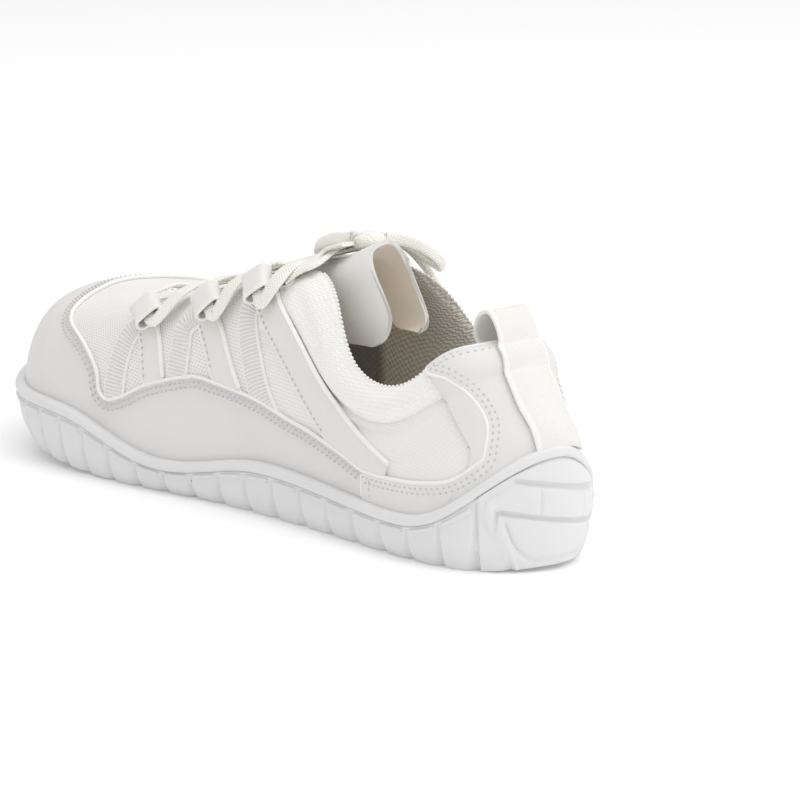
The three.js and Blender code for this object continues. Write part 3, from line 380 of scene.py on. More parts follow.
# The frame's origin is the middle of the sole's box
PLAN = outline(np.linspace(0, STATIONS, 1201))
NODE_MIDDLE = sum(np.array(corner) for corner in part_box("outsole")) / 2 / MM
SHIFT = np.array([*(NODE_MIDDLE[:2] - (PLAN.min(0) + PLAN.max(0)) / 2), 0.0])


def length(label, description, default):
    return FloatProperty(name=label, description=description, default=default, unit="LENGTH")


def colour(label, default):
    return FloatVectorProperty(name=label, description=f"Colour of the {label.lower()}",
                               default=default, subtype="COLOR", min=0, max=1)


class Settings(bpy.types.PropertyGroup):
    """Sizes that a user may change."""
    stitch_pitch: length("Stitch pitch", "From one stitch to the next", 0.0023)
    stitch_length: length("Stitch length", "Length of one stitch", 0.0013)
    stitch_width: length("Stitch width", "Thickness of the thread", 0.00075)
    stitch_rows_apart: length("Stitch rows apart", "Between the two rows of a double seam", 0.0018)
    mesh_pitch: length("Mesh pitch", "From one hole of the mesh to the next", 0.0014)
    piping_width: length("Edge width", "Width of the pale turned edge of an overlay", 0.0013)
    lugs_a_side: IntProperty(
        name="Lugs a side", description="Lugs on each side of the sole", default=22, min=8)
    lug_depth: length("Lug depth", "Depth of the gaps between lugs", 0.0021)


class Colours(bpy.types.PropertyGroup):
    """Colours of the shoe's materials and of the floor."""
    rubber: colour("Sole rubber", (0.745, 0.745, 0.75))
    microfibre: colour("Smooth overlays", (0.75, 0.74, 0.73))
    trim: colour("Turned edges", (0.88, 0.87, 0.84))
    mesh: colour("Mesh yarn", (0.85, 0.838, 0.82))
    knit: colour("Collar knit", (0.92, 0.91, 0.88))
    lining: colour("Lining", (0.78, 0.74, 0.67))
    tongue: colour("Tongue cloth", (0.80, 0.785, 0.755))
    tongue_back: colour("Tongue lining", (0.82, 0.76, 0.68))
    webbing: colour("Webbing", (0.795, 0.78, 0.75))
    ribbed: colour("Ribbed webbing", (0.815, 0.80, 0.77))
    lace: colour("Lace", (0.93, 0.91, 0.85))
    footbed: colour("Insole cloth", (0.52, 0.50, 0.46))
    thread: colour("Thread", (0.58, 0.58, 0.59))
    floor: colour("Floor", (0.93, 0.93, 0.93))


# Materials
class Value:
    """An output socket of a material, which Python's operators join into Math nodes."""

    def __init__(self, look, socket):
        self.look = look
        self.socket = socket

    def math(self, operation, *others):
        return self.look.node("ShaderNodeMath", {"operation": operation}, [self, *others])

    def __add__(self, other):
        return self.math("ADD", other)

    def __sub__(self, other):
        return self.math("SUBTRACT", other)

    def __mul__(self, other):
        return self.math("MULTIPLY", other)

    def __truediv__(self, other):
        return self.math("DIVIDE", other)

    def __rsub__(self, other):
        return self.look.node("ShaderNodeMath", {"operation": "SUBTRACT"}, [other, self])

    __radd__ = __add__
    __rmul__ = __mul__

    def between(self, low, high):
        """0 at low, 1 at high, eased in between."""
        return self.look.node("ShaderNodeMapRange", {"interpolation_type": "SMOOTHSTEP"},
                              {"Value": self, "From Min": low, "From Max": high})

    def wave(self, pitch):
        """A sine wave that repeats after each pitch."""
        return (self * (2 * math.pi / pitch)).math("SINE")


class Look:
    """A material of one colour with one Principled shader, built node by node."""

    def __init__(self, name, colour, roughness, glow=(0, 0, 0), strength=0.0):
        self.colour = colour
        self.material = bpy.data.materials.new(name)
        self.material.use_nodes = True
        self.tree = self.material.node_tree
        self.shader = self.tree.nodes["Principled BSDF"]
        self.shader.inputs["Roughness"].default_value = roughness
        if strength:
            self.shader.inputs["Emission Color"].default_value = (*glow, 1)
            self.shader.inputs["Emission Strength"].default_value = strength

    def node(self, kind, settings=None, inputs=(), output=0):
        node = self.tree.nodes.new(kind)
        for key, value in (settings or {}).items():
            setattr(node, key, value)
        pairs = inputs.items() if isinstance(inputs, dict) else enumerate(inputs)
        for key, value in pairs:
            if isinstance(value, Value):
                self.tree.links.new(value.socket, node.inputs[key])
            else:
                node.inputs[key].default_value = value
        return Value(self, node.outputs[output])

    def feed(self, socket, value):
        self.tree.links.new(value.socket, self.shader.inputs[socket])

    def place(self):
        return self.node("ShaderNodeTexCoord", output="Object")

    def axes(self, vector, count):
        return [self.node("ShaderNodeSeparateXYZ", None, [vector], axis) for axis in range(count)]

    def cloth(self):
        """The piece's own UV map in metres, as its two numbers."""
        return self.axes(self.node("ShaderNodeUVMap", {"uv_map": "UVMap"}), 2)

    def noise(self, scale, detail=3.0):
        return self.node("ShaderNodeTexNoise", None, {
            "Vector": self.place(), "Scale": scale, "Detail": detail})

    def clouds(self, scale, detail=3.0):
        """Noise with its contrast raised, for large pale and dark patches."""
        return self.noise(scale, detail).between(0.3, 0.7)

    def shade(self, share=1.0):
        """The look's colour, made darker or brighter."""
        return (*(min(part * share, 1.0) for part in self.colour), 1.0)

    def blend(self, mask, first, second):
        return self.node("ShaderNodeMix", {"data_type": "RGBA"}, {
            "Factor": mask, 6: first, 7: second}, 2)

    def tint(self, mask, dark, bright=1.0):
        """Colours the surface from a dark to a bright share of the look's colour, by a mask."""
        self.feed("Base Color", self.blend(mask, self.shade(dark), self.shade(bright)))

    def bump(self, height, distance, strength):
        self.feed("Normal", self.node("ShaderNodeBump", None, {
            "Height": height, "Distance": distance, "Strength": strength}))


def rubber_look(look):
    look.tint(look.clouds(35.0, detail=2.0), 0.975)
    look.feed("Roughness", look.noise(60.0) * 0.14 + 0.42)
    look.bump(look.noise(1800.0, detail=2.0), distance=0.00008, strength=0.6)


def microfibre_look(look):
    look.tint(look.clouds(28.0), 0.97, 1.01)
    look.feed("Roughness", look.noise(300.0) * 0.16 + 0.5)
    grain = look.node("ShaderNodeTexVoronoi", {"feature": "F1"}, {"Vector": look.place(), "Scale": 2100.0})
    look.bump(grain + look.noise(900.0) * 0.8, distance=0.00007, strength=0.5)


def trim_look(look):
    look.tint(look.noise(400.0), 0.97)
    look.bump(look.noise(1500.0), distance=0.00006, strength=0.5)


def mesh_look(look):
    """Rows of round holes, set half a pitch over from row to row, with painted shade in them."""
    x, y, z = look.axes(look.place(), 3)
    pitch = bpy.context.scene.shoe_sizes.mesh_pitch
    row = (y.math("ABSOLUTE") - z * 0.8) / (pitch * 0.8) + MESH_COUNT
    column = x / pitch + MESH_COUNT + row.math("FLOOR").math("MODULO", 2.0) * 0.5
    across, up = column.math("FRACT") - 0.5, row.math("FRACT") - 0.5
    apart = (across * across * 0.8 + up * up * 1.6).math("SQRT")
    hole = 1 - apart.between(0.14, 0.36)
    # Painted shade: the holes are coloured darker for the shaded inside seen through them, and show most
    # over the forefoot, where the lining behind them lies in deep shade
    opened = hole * (x.between(-0.075, 0.01) * 0.40 + 0.16)
    yarn = look.blend(look.clouds(30.0), look.shade(0.97), look.shade())
    # painted shade in the holes: 0.6 of the yarn's colour
    look.feed("Base Color", look.blend(opened, yarn, look.shade(0.6)))
    look.bump(look.noise(2600.0, detail=2.0) * 0.4 - opened, distance=0.00022, strength=0.7)


def knit_look(look):
    across, along = look.cloth()
    rib = along.wave(pitch=0.0017)
    loops = (across * (2 * math.pi / 0.0012) + rib * 1.2).math("SINE")
    weave = rib * 0.6 + loops * 0.5
    look.tint(weave.between(-1.1, 0.6), 0.95)
    look.bump(weave + look.noise(2200.0) * 0.8, distance=0.00013, strength=0.6)


def lining_look(look):
    """A loose check in folds, dark where little light gets in under the tongue and the vamp."""
    across, along = look.cloth()
    fold = look.noise(55.0, detail=2.0)
    check = (across + fold * 0.004).wave(pitch=0.0034) * (along + fold * 0.003).wave(pitch=0.0024)
    cloth = look.blend(check.between(-0.4, 0.6), look.shade(0.72), look.shade(1.12))
    inside = look.axes(look.place(), 1)[0].between(-0.014, -0.006)
    look.feed("Base Color", look.blend(inside * 0.85, cloth, look.shade(0.1)))
    look.bump(check + fold * 2.0, distance=0.0003, strength=0.6)


def tongue_look(look):
    across, along = look.cloth()
    weave = across.wave(pitch=0.0009) * along.wave(pitch=0.0009)
    look.tint(look.clouds(40.0), 0.97)
    look.bump(weave * 0.5 + look.noise(1700.0), distance=0.00009, strength=0.5)


def tongue_back_look(look):
    look.tint(look.clouds(50.0), 0.94)
    look.bump(look.noise(2400.0), distance=0.00015, strength=0.6)


def webbing_look(look):
    """A twill between two plain selvedges."""
    across, along = look.cloth()
    selvedge = across.math("ABSOLUTE").between(0.0040, 0.0045)
    twill = (along + across * 0.8).wave(pitch=0.0009)
    cloth = look.blend(twill.between(-1.0, 0.6), look.shade(0.965), look.shade())
    look.feed("Base Color", look.blend(selvedge, cloth, look.shade(1.08)))
    look.bump(twill * 0.5 + look.noise(1500.0) * 0.6 + selvedge * 2.0, distance=0.00013, strength=0.5)


def ribbed_look(look):
    """Ribs straight across, between two plain selvedges."""
    across, along = look.cloth()
    selvedge = across.math("ABSOLUTE").between(0.0038, 0.0043)
    ribs, threads = along.wave(pitch=0.0013), across.wave(pitch=0.0007)
    weave = (ribs * 0.8 + threads * 0.25) * (1 - selvedge) + selvedge * 1.4
    look.tint(weave.between(-0.9, 0.5), 0.86, 1.05)
    look.bump(weave, distance=0.00022, strength=0.75)


def lace_look(look):
    """Ribs that bend back to both edges, like a braid's."""
    across, along = look.cloth()
    ribs, threads = (along + across.math("ABSOLUTE") * 0.7).wave(pitch=0.0011), across.wave(pitch=0.0007)
    weave = ribs * 0.6 + threads * 0.3
    look.tint(weave.between(-0.9, 0.5), 0.9)
    look.bump(weave, distance=0.0002, strength=0.7)


def footbed_look(look):
    weave = look.noise(1500.0, detail=4.0)
    look.tint(weave.between(0.3, 0.7), 0.8, 1.1)
    look.bump(weave, distance=0.0003, strength=0.7)


def thread_look(look):
    look.tint(look.noise(900.0), 0.94)
    look.bump(look.noise(4000.0), distance=0.00005, strength=0.5)


def floor_look(look):
    look.tint(look.noise(4.0), 0.995)


# Keeps the mesh's rows and columns above zero, where MODULO and FRACT count the same way
MESH_COUNT = 400
# For each colour: its maker, material name, roughness, and where it glows a little its glow: painted light
# on the lining and the tongue lining, and on the floor only an even white
LOOK_ROWS = {
    "rubber": (rubber_look, "sole_rubber", 0.5),
    "microfibre": (microfibre_look, "microfibre", 0.6),
    "trim": (trim_look, "turned_edge", 0.6),
    "mesh": (mesh_look, "mesh", 0.85),
    "knit": (knit_look, "collar_knit", 0.9),
    # painted light: a faint warm glow that lightens the lining inside the shoe
    "lining": (lining_look, "lining", 0.95, (0.9, 0.82, 0.68), 0.03),
    "tongue": (tongue_look, "tongue_cloth", 0.8),
    # painted light: a warm glow that lightens the tongue's shaded inner face
    "tongue_back": (tongue_back_look, "tongue_lining", 0.9, (0.95, 0.82, 0.66), 0.14),
    "webbing": (webbing_look, "webbing", 0.75),
    "ribbed": (ribbed_look, "ribbed_webbing", 0.75),
    "lace": (lace_look, "lace_weave", 0.8),
    "footbed": (footbed_look, "footbed", 0.95),
    "thread": (thread_look, "thread", 0.7),
    "floor": (floor_look, "floor", 0.7, (1, 1, 1), 0.1),
}
LOOKS = {}


def look_for(name):
    """The finished material of that name, made once."""
    if name not in LOOKS:
        make, material, roughness, *glow = LOOK_ROWS[name]
        look = Look(material, getattr(bpy.context.scene.shoe_colours, name), roughness, *glow)
        make(look)
        LOOKS[name] = look.material
    return LOOKS[name]


# Modelling helpers
def deselect():
    if bpy.context.mode != "OBJECT":
        bpy.ops.object.mode_set(mode="OBJECT")
    bpy.ops.object.select_all(action="DESELECT")


def select(piece):
    deselect()
    piece.select_set(True)
    bpy.context.view_layer.objects.active = piece


def edit(piece, *steps):
    """Runs edit-mode operators, given as (operator, settings), on the whole mesh of a piece."""
    select(piece)
    bpy.ops.object.mode_set(mode="EDIT")
    bpy.ops.mesh.select_mode(type="VERT")
    bpy.ops.mesh.select_all(action="SELECT")
    for operator, settings in steps:
        operator(**settings)
    bpy.ops.object.mode_set(mode="OBJECT")


MERGE = (bpy.ops.mesh.remove_doubles, {"threshold": 1e-6})
OUTWARDS = (bpy.ops.mesh.normals_make_consistent, {"inside": False})


def apply(piece, kind, **settings):
    """Adds a modifier to a piece and applies it."""
    select(piece)
    modifier = piece.modifiers.new(kind.title(), kind)
    for key, value in settings.items():
        setattr(modifier, key, value)
    bpy.ops.object.modifier_apply(modifier=modifier.name)


def thicken(piece, thickness, round_edge=None, offset=1.0, **limits):
    """Gives a sheet its thickness in millimetres, and rounds its edges."""
    apply(piece, "SOLIDIFY", thickness=thickness * MM, offset=offset)
    if round_edge:
        apply(piece, "BEVEL", width=round_edge * MM, segments=2, limit_method="ANGLE", **limits)


def grid_piece(name, columns, rows, place, looks, face_look=None, closed=False):
    """A grid primitive whose points are laid where place(u, v) says, u and v from 0 to 1.

    place gives the points and their cloth coordinates in millimetres. face_look(u, v) picks the
    material of each face. A closed shell has its seams merged and its faces turned outwards.
    """
    deselect()
    bpy.ops.mesh.primitive_grid_add(x_subdivisions=columns, y_subdivisions=rows, size=2)
    piece = bpy.context.object
    piece.name = piece.data.name = name
    mesh = piece.data

    def read(items, key, width):
        values = np.empty(len(items) * width, np.float32)
        items.foreach_get(key, values)
        return values.reshape(-1, width)

    u, v = (read(mesh.vertices, "co", 3)[:, :2].astype(float).T + 1) / 2
    if face_look is not None:
        centre = (read(mesh.polygons, "center", 3)[:, :2].T + 1) / 2
        mesh.polygons.foreach_set("material_index", face_look(*centre).astype(np.int32))
    points, cloth = place(u, v)
    mesh.vertices.foreach_set("co", ((points + SHIFT) * MM).astype(np.float32).ravel())
    corner = np.empty(len(mesh.loops), np.int32)
    mesh.loops.foreach_get("vertex_index", corner)
    mesh.uv_layers.active.uv.foreach_set("vector", (cloth[corner] * MM).astype(np.float32).ravel())
    for look in looks:
        mesh.materials.append(look_for(look))
    mesh.update()
    if closed:
        edit(piece, MERGE, OUTWARDS)
    return piece


def close_ends(piece):
    """Merges the seams of a tube, fills its open ends and turns its faces outwards."""
    edit(piece, MERGE, (bpy.ops.mesh.select_all, {"action": "DESELECT"}),
         (bpy.ops.mesh.select_non_manifold, {"extend": False}), (bpy.ops.mesh.fill_holes, {"sides": 0}),
         (bpy.ops.mesh.select_all, {"action": "SELECT"}), OUTWARDS)
    return piece


def tube(name, at, side, up, width, thick, look, powers=(1, 1), around=8):
    """A closed tube round a line of points; smaller powers make its oval section squarer."""
    length = run_lengths(at)
    width = np.broadcast_to(width, len(at))

    def place(u, v):
        i = nearest(u, len(at) - 1)
        turn = v * 2 * math.pi
        a, b = (np.sign(wave) * np.abs(wave) ** power / 2
                for wave, power in zip((np.cos(turn), np.sin(turn)), powers))
        a, b = a * width[i], b * thick
        return at[i] + side[i] * a[:, None] + up[i] * b[:, None], np.stack([a, length[i]], -1)
    return close_ends(grid_piece(name, len(at) - 1, around, place, [look]))


def band(name, stops, width, thick, look, step=0.8, flat=0.62, around=14):
    """A flat woven band through stops: a point, the way its flat side faces, and its share of the width."""
    stops = np.array([[*stop, 1.0][:7] for stop in stops], float)
    line = through(stops, int(run_lengths(stops[:, :3])[-1] / step) + 6)
    at, tilt, share = line[:, :3], unit(line[:, 3:6]), line[:, 6]
    run = unit(np.gradient(at, axis=0))
    side = unit(np.cross(tilt, run))
    return tube(name, at, side, np.cross(run, side), width * share, thick, look, (flat, 0.75), around)


def edge_bead(name, line, wide, tall, lift, look):
    """A raised rounded edge along a line of places on the wrap."""
    at, out = skin(*line.T, lift), surface_normal(*line.T)
    side = unit(np.cross(out, unit(np.gradient(at, axis=0))))
    return tube(name, at, side, out, wide, tall, look)


def inside_line(line, inset):
    """The line of places that runs a distance below another one; above it where inset is negative."""
    station, height = line.T
    run = unit(np.gradient(skin(station, height), axis=0))
    side = unit(np.cross(surface_normal(station, height), run))
    return np.stack(step_on_wrap(station, height, side, inset), -1)


def evenly(line, pitch, shift=0.0):
    """Places a pitch apart along a line of places."""
    run = run_lengths(skin(*line.T))
    at = np.arange(pitch * (0.5 + shift), run[-1], pitch)
    return np.stack([np.interp(at, run, line[:, k]) for k in (0, 1)], -1)


def clear_of(line, edge, distance):
    """The places of a line that keep a distance from an edge, so that no row crosses a corner."""
    gaps = skin(*line.T)[:, None] - skin(*edge.T)[None]
    return line[np.linalg.norm(gaps, axis=-1).min(1) > distance]


def stitch_piece(name, lines, lift, look="thread", size=None):
    """One mesh with a stitch or bead at each place of the lines, lying along its line."""
    sizes = bpy.context.scene.shoe_sizes
    size = size or [part / MM for part in (sizes.stitch_length, sizes.stitch_width, sizes.stitch_width)]
    deselect()
    bpy.ops.mesh.primitive_uv_sphere_add(segments=6, ring_count=4, radius=0.5)
    piece = bpy.context.object
    piece.name = piece.data.name = name
    form = np.array([vertex.co for vertex in piece.data.vertices]) * size
    faces = [tuple(face.vertices) for face in piece.data.polygons]
    points = []
    for line in lines:
        at, out = skin(*line.T, lift), surface_normal(*line.T)
        run = unit(np.gradient(at, axis=0))
        axes = np.stack([run, np.cross(out, run), out], 1)
        points.append(at[:, None] + np.einsum("vk,nkc->nvc", form, axes))
    points = (np.concatenate(points) + SHIFT) * MM
    copies = [tuple(i * len(form) + corner for corner in face)
              for i in range(len(points)) for face in faces]
    piece.data.clear_geometry()
    piece.data.from_pydata(points.reshape(-1, 3).tolist(), [], copies)
    piece.data.materials.append(look_for(look))
    return piece


def finish_piece(piece, slot, *nodes, angle=50.0):
    """Smooths a piece and ties it to the frame."""
    select(piece)
    bpy.ops.object.shade_smooth_by_angle(angle=math.radians(angle), keep_sharp_edges=True)
    piece.select_set(False)
    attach(piece, "root")
    if nodes:
        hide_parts(*nodes)
    return piece


SIDES = ((False, "outer"), (True, "inner"))


def mirror(station, inner):
    return STATIONS - station if inner else station


def both_sides(outer, turn):
    """A line of places on the outer side, carried on by its mirror image round a turn of stations."""
    return np.vstack([outer, (outer[::-1] * [-1, 1] + [turn, 0])[1:]])


def near_back(station):
    """Station counted from the back of the heel, the same on both sides."""
    turn = np.mod(station, STATIONS)
    return np.minimum(turn, STATIONS - turn)


# The heel block: its end, and the heights of its two grooves on the outer and the inner side
BLOCK_END = 1.25
LOW_GROOVE = (0.606, 0.293)
HIGH_GROOVE = (0.90, 0.59)
GROOVE_DEPTH = 1.4
GROOVE_HALF = 1.1
# Room under the bead over which a groove opens, and the least room that each groove's middle keeps
GROOVE_OPENS = (1.2, 3.2)
GROOVE_ROOM = (5.2, 1.9)
PANEL_SWELL = 0.45
# Thin upright lines in the middle panel: their stations, depth and width
HEEL_LINES = (0.40, -0.43)
LINE_DEPTH, LINE_WIDTH = 0.5, 0.022
# Station of the ridge before the heel block: at the ground, and its lean for each millimetre up
RIDGE = (0.70, 0.0228)
RIDGE_TOP = 24
RIDGE_SWELL, RIDGE_WIDTH = 0.7, 0.05
# The heel's bottom panel: how far behind the ridge it starts, its height over the ground, its corner
PANEL_START = 2.5
LIP_HEIGHT = 2.4
PANEL_ROUND = 7.0
PANEL_DEPTH, PANEL_LINE = 0.8, 0.7
# Insets of the side under the bead, of the heel block, of the bead's foot and of the groove under it
SIDE_INSET = 1.2
HEEL_INSET = 0.7
BEAD_INSET = 2.1
BEAD_GROOVE = 1.55
# Shares of SOLE_TUCK by which the side and the heel block draw in at the ground
SIDE_TUCK, HEEL_TUCK = 0.8, 0.85
# The gap between lugs, its flare at the ground and the lug's round rear, as shares of a lug's run
LUG_GAP, LUG_FLARE, LUG_ROUND = 0.07, 0.36, 0.06
LEDGE_DEPTH = 0.95
TREAD_DEPTH = 1.2
# How far the sole's middle line reaches, as a share of LENGTH, and how much it is drawn in
MIDDLE_REACH = 0.36
MIDDLE_SHRINK = 0.92
SOLE_COLUMNS = 1000
UNDER_ROWS, SIDE_ROWS, BEAD_ROWS, CUP_ROWS, FLOOR_ROWS = 9, 54, 9, 8, 7
SOLE_ROWS = UNDER_ROWS + SIDE_ROWS + BEAD_ROWS + CUP_ROWS + FLOOR_ROWS
# Shares of the side's rows at the ground, at the edges of the two grooves and under the bead
BLOCK_ROWS = (0.0, 0.37, 0.48, 0.68, 0.79, 1.0)


def side_run():
    """Run along the outline from the back of the heel, the same on both sides, with its stations."""
    stations = np.linspace(0, TOE, 500)
    outer, inner = outline(stations), outline(-stations)
    return stations, (run_lengths(outer) + run_lengths(inner)) / 2


def lug_phase(station):
    """Grows by 1 from one gap between lugs to the next, from the end of the heel block."""
    stations, run = side_run()
    start = np.interp(BLOCK_END, stations, run)
    lugs = bpy.context.scene.shoe_sizes.lugs_a_side
    return (np.interp(near_back(station), stations, run) - start) / (run[-1] - start) * lugs


def block_level(share, ground, top, across):
    """Levels up the heel block, whose rows meet both edges of its grooves, and the grooves' depth."""
    tall = rim_height(0.0) - BEAD_HEIGHT
    low, high = (tall * mix(inner, outer, across) for outer, inner in (LOW_GROOVE, HIGH_GROOVE))
    opened = [smooth(*GROOVE_OPENS, top - centre) for centre in (low, high)]
    low, high = (np.minimum(centre, top - room) for centre, room in zip((low, high), GROOVE_ROOM))
    marks = [ground, low - GROOVE_HALF, low + GROOVE_HALF, high - GROOVE_HALF, high + GROOVE_HALF, top]
    parts = [np.clip((share - start) / (end - start), 0, 1)
             for start, end in zip(BLOCK_ROWS, BLOCK_ROWS[1:])]
    level = sum((marks[i + 1] - marks[i]) * part for i, part in enumerate(parts)) + ground
    depth = sum(opening * GROOVE_DEPTH * np.sin(math.pi * part) ** 0.6
                for opening, part in zip(opened, parts[1::2]))
    swell = sum(PANEL_SWELL * np.sin(math.pi * part) ** 0.5 for part in parts[::2])
    return level, depth - swell


def sole_side(station, share):
    """Inset and level of the outsole's outer face, share 0 at the ground and 1 under the bead."""
    ground = spring(outline(station, SOLE_TUCK)[..., 0])
    top = rim_height(station) - BEAD_HEIGHT
    level = mix(ground, top, share)
    near = near_back(station)
    front = RIDGE[0] + RIDGE[1] * np.minimum(level, RIDGE_TOP)
    on_block = 1 - smooth(front - 0.03, front + 0.03, near)
    deep = bpy.context.scene.shoe_sizes.lug_depth / MM
    part = np.mod(lug_phase(station), 1.0)
    # Each lug swells towards its rear, and the gap before it opens out towards the ground
    low = 1 - share
    gap = (1 - smooth(0.0, LUG_GAP + LUG_FLARE * low**1.6, part)) + smooth(1 - LUG_ROUND, 1.0, part)
    lug = np.clip(gap, 0, 1) * (0.25 + 0.75 * low**0.8) * (1 - smooth(0.92, 0.96, share))
    ledge = (smooth(0.85, 0.87, share) * (1 - smooth(0.92, 0.94, share))
             * smooth(0.12, 0.17, part) * (1 - smooth(0.86, 0.91, part)))
    side = SIDE_INSET + SOLE_TUCK * SIDE_TUCK * low**2.6 - LEDGE_DEPTH * ledge + lug * deep
    across = np.clip(0.5 + outline(station)[..., 1] / (0.6 * BALL_WIDTH), 0, 1)
    block, depth = block_level(share, ground, top, across)
    for line in HEEL_LINES:
        beside = (np.mod(station + TOE, STATIONS) - TOE - line) / LINE_WIDTH
        depth = depth + LINE_DEPTH * np.exp(-beside**2) * (
            (share > BLOCK_ROWS[2]) & (share < BLOCK_ROWS[3]))
    # The bottom panel has a round front corner, and a thin lip runs on below it
    stations, run = side_run()
    behind = np.interp(front, stations, run) - np.interp(near, stations, run) - PANEL_START
    above = level - ground - LIP_HEIGHT
    edge = PANEL_ROUND - np.hypot(np.maximum(PANEL_ROUND - behind, 0), np.maximum(PANEL_ROUND - above, 0))
    depth = depth + PANEL_DEPTH * np.exp(-(edge / PANEL_LINE) ** 2) * (1 - smooth(0.30, 0.36, share))
    heel = SOLE_TUCK * low**3 * HEEL_TUCK + HEEL_INSET + depth
    ridge = np.exp(-((near - front) / RIDGE_WIDTH) ** 2) * (1 - smooth(20, 25, level))
    return mix(side, heel, on_block) - RIDGE_SWELL * ridge, mix(level, block, on_block)


def middle_line(flat):
    """The places of the sole's middle line that belong to the points of an outline."""
    x = np.clip(flat[:, 0], -MIDDLE_REACH * LENGTH, MIDDLE_REACH * LENGTH) * MIDDLE_SHRINK
    return np.stack([x, np.zeros_like(x)], -1)


def sole_place(u, v):
    station = u * STATIONS
    row = nearest(v, SOLE_ROWS)
    side_end = UNDER_ROWS + SIDE_ROWS
    bead_end = side_end + BEAD_ROWS
    cup_end = bead_end + CUP_ROWS
    inset, level = sole_side(station, np.clip((row - UNDER_ROWS) / SIDE_ROWS, 0, 1))
    rim = rim_height(station)
    # The bead, round from the groove under it to the top
    turn = np.clip((row - side_end) / BEAD_ROWS, 0, 1) * math.pi
    on_bead = (row > side_end) & (row <= bead_end)
    inset = np.where(on_bead, BEAD_INSET - BEAD_INSET * np.sin(turn) ** 0.7, inset)
    level = np.where(on_bead, rim - BEAD_HEIGHT / 2 - BEAD_HEIGHT / 2 * np.cos(turn), level)
    inset = np.where(row == side_end, BEAD_GROOVE, inset)
    # The tread under the foot: from the middle line out to the ground edge
    spread = np.clip(row / UNDER_ROWS, 0, 1)
    flat = outline(station, inset)
    middle = middle_line(flat)
    under = row < UNDER_ROWS
    ground_edge = outline(station, sole_side(station, np.zeros_like(station))[0])
    flat = np.where(under[:, None], mix(middle, ground_edge, spread[:, None] ** 0.8), flat)
    part = np.mod(lug_phase(station), 1.0)
    gap = ((1 - smooth(0.06, 0.16, part)) + smooth(0.90, 1.0, part)) * (spread > 0.5) * (spread < 1)
    level = np.where(under, spring(flat[:, 0]) + TREAD_DEPTH * np.clip(gap, 0, 1), level)
    # The inner wall and floor of the cup
    climb = 1 - np.clip((row - bead_end) / CUP_ROWS, 0, 1)
    wall = skin(station, height_at_level(station, rim) * climb, CLEARANCE)
    wall[:, 2] = np.where(row == bead_end + 1, rim - 0.2, wall[:, 2])
    floor_flat = mix(outline(station, SOLE_WALL + 0.2), middle,
                     np.clip((row - cup_end) / FLOOR_ROWS, 0, 1)[:, None])
    floor = np.concatenate([floor_flat, (spring(floor_flat[:, 0]) + SOLE_THICKNESS)[:, None]], -1)
    points = np.concatenate([flat, level[:, None]], -1)
    points = np.where((row > bead_end)[:, None], np.where((row >= cup_end)[:, None], floor, wall), points)
    return points, points[:, :2]


class SHOE_OT_outsole(bpy.types.Operator):
    """The cup sole with its bead, lugs, heel grooves and tread"""
    bl_idname = "shoe.outsole"
    bl_label = "Outsole"

    def execute(self, context):
        piece = grid_piece("outsole_rubber", SOLE_COLUMNS, SOLE_ROWS, sole_place, ["rubber"], closed=True)
        finish_piece(piece, "sole_rubber", "outsole", angle=40)
        return {"FINISHED"}


# Rows of the insole's grid: three under it, one for each ring round its edge, and the rest on top.
# Rings are inset and level over the floor; the top is dished by its edge's height.
INSOLE_ROWS = 16
INSOLE_RINGS = np.array(((0.0, 0.3), (0.0, 2.4), (0.3, 2.8), (0.9, 3.0)))
INSOLE_DISH = 1.2


def insole_place(u, v):
    row = nearest(v, INSOLE_ROWS)
    inset, level = INSOLE_RINGS[np.clip(row - 3, 0, 3)].T
    flat = outline(u * STATIONS, SOLE_WALL + 2 * CLEARANCE + UPPER_WALL + 0.2 + inset)
    share = np.where(row < 3, 1 - row / 3, np.where(row > 6, (row - 6) / 10, 0.0))
    flat = mix(flat, middle_line(flat), share[:, None])
    dish = INSOLE_DISH * (smooth(0.25, 0.0, share) - 1) * (row > 3)
    return np.concatenate([flat, (spring(flat[:, 0]) + SOLE_THICKNESS + level + dish)[:, None]], -1), flat


class SHOE_OT_insole(bpy.types.Operator):
    """The insole with its cloth top"""
    bl_idname = "shoe.insole"
    bl_label = "Insole"

    def execute(self, context):
        piece = grid_piece("insole_cloth", 160, INSOLE_ROWS, insole_place, ["footbed"], closed=True)
        finish_piece(piece, "footbed", "insole")
        return {"FINISHED"}


# The upper
UPPER_COLUMNS = 420
OUTER_ROWS = 96
INNER_ROWS = 30
# The groove under the collar's roll: its height on the profile, width and depth
COLLAR_GROOVE = (3.03, 0.10, -1.3)
# Small woven points along the opening's edge: how many for a station, and how tall
POINTS_A_STATION = 16
POINT_HEIGHT = 0.3
EDGE_SWELL = 0.35
# Height on the profile where the knit starts, by stations from the back
KNIT_STATIONS = (0, 4.2, 5.0, 5.5, 6.3, 6.7)
KNIT_FROM = (2.98, 2.98, 2.86, 2.60, 3.70, 4.0)
# Creases: station, height, direction, length, width and depth
CREASE_ROWS = (
    (4.55, 3.36, 0.12, 0.90, 0.17, -1.1),
    (4.55, 2.62, -0.35, 0.60, 0.14, -0.2),
    (3.90, 2.45, 0.55, 0.45, 0.16, 0.5),
    (2.90, 2.80, -0.12, 0.62, 0.20, -1.3),
    (2.55, 2.36, 0.30, 0.50, 0.22, 0.8),
    (5.20, 2.70, 1.20, 0.30, 0.14, -0.4),
    (8.60, 3.10, 0.20, 0.60, 0.20, -0.4),
    (9.60, 3.55, 0.10, 0.90, 0.18, 0.4),
)
# What one unit of height measures on the wrap, against one station
HEIGHT_UNIT = 1.5


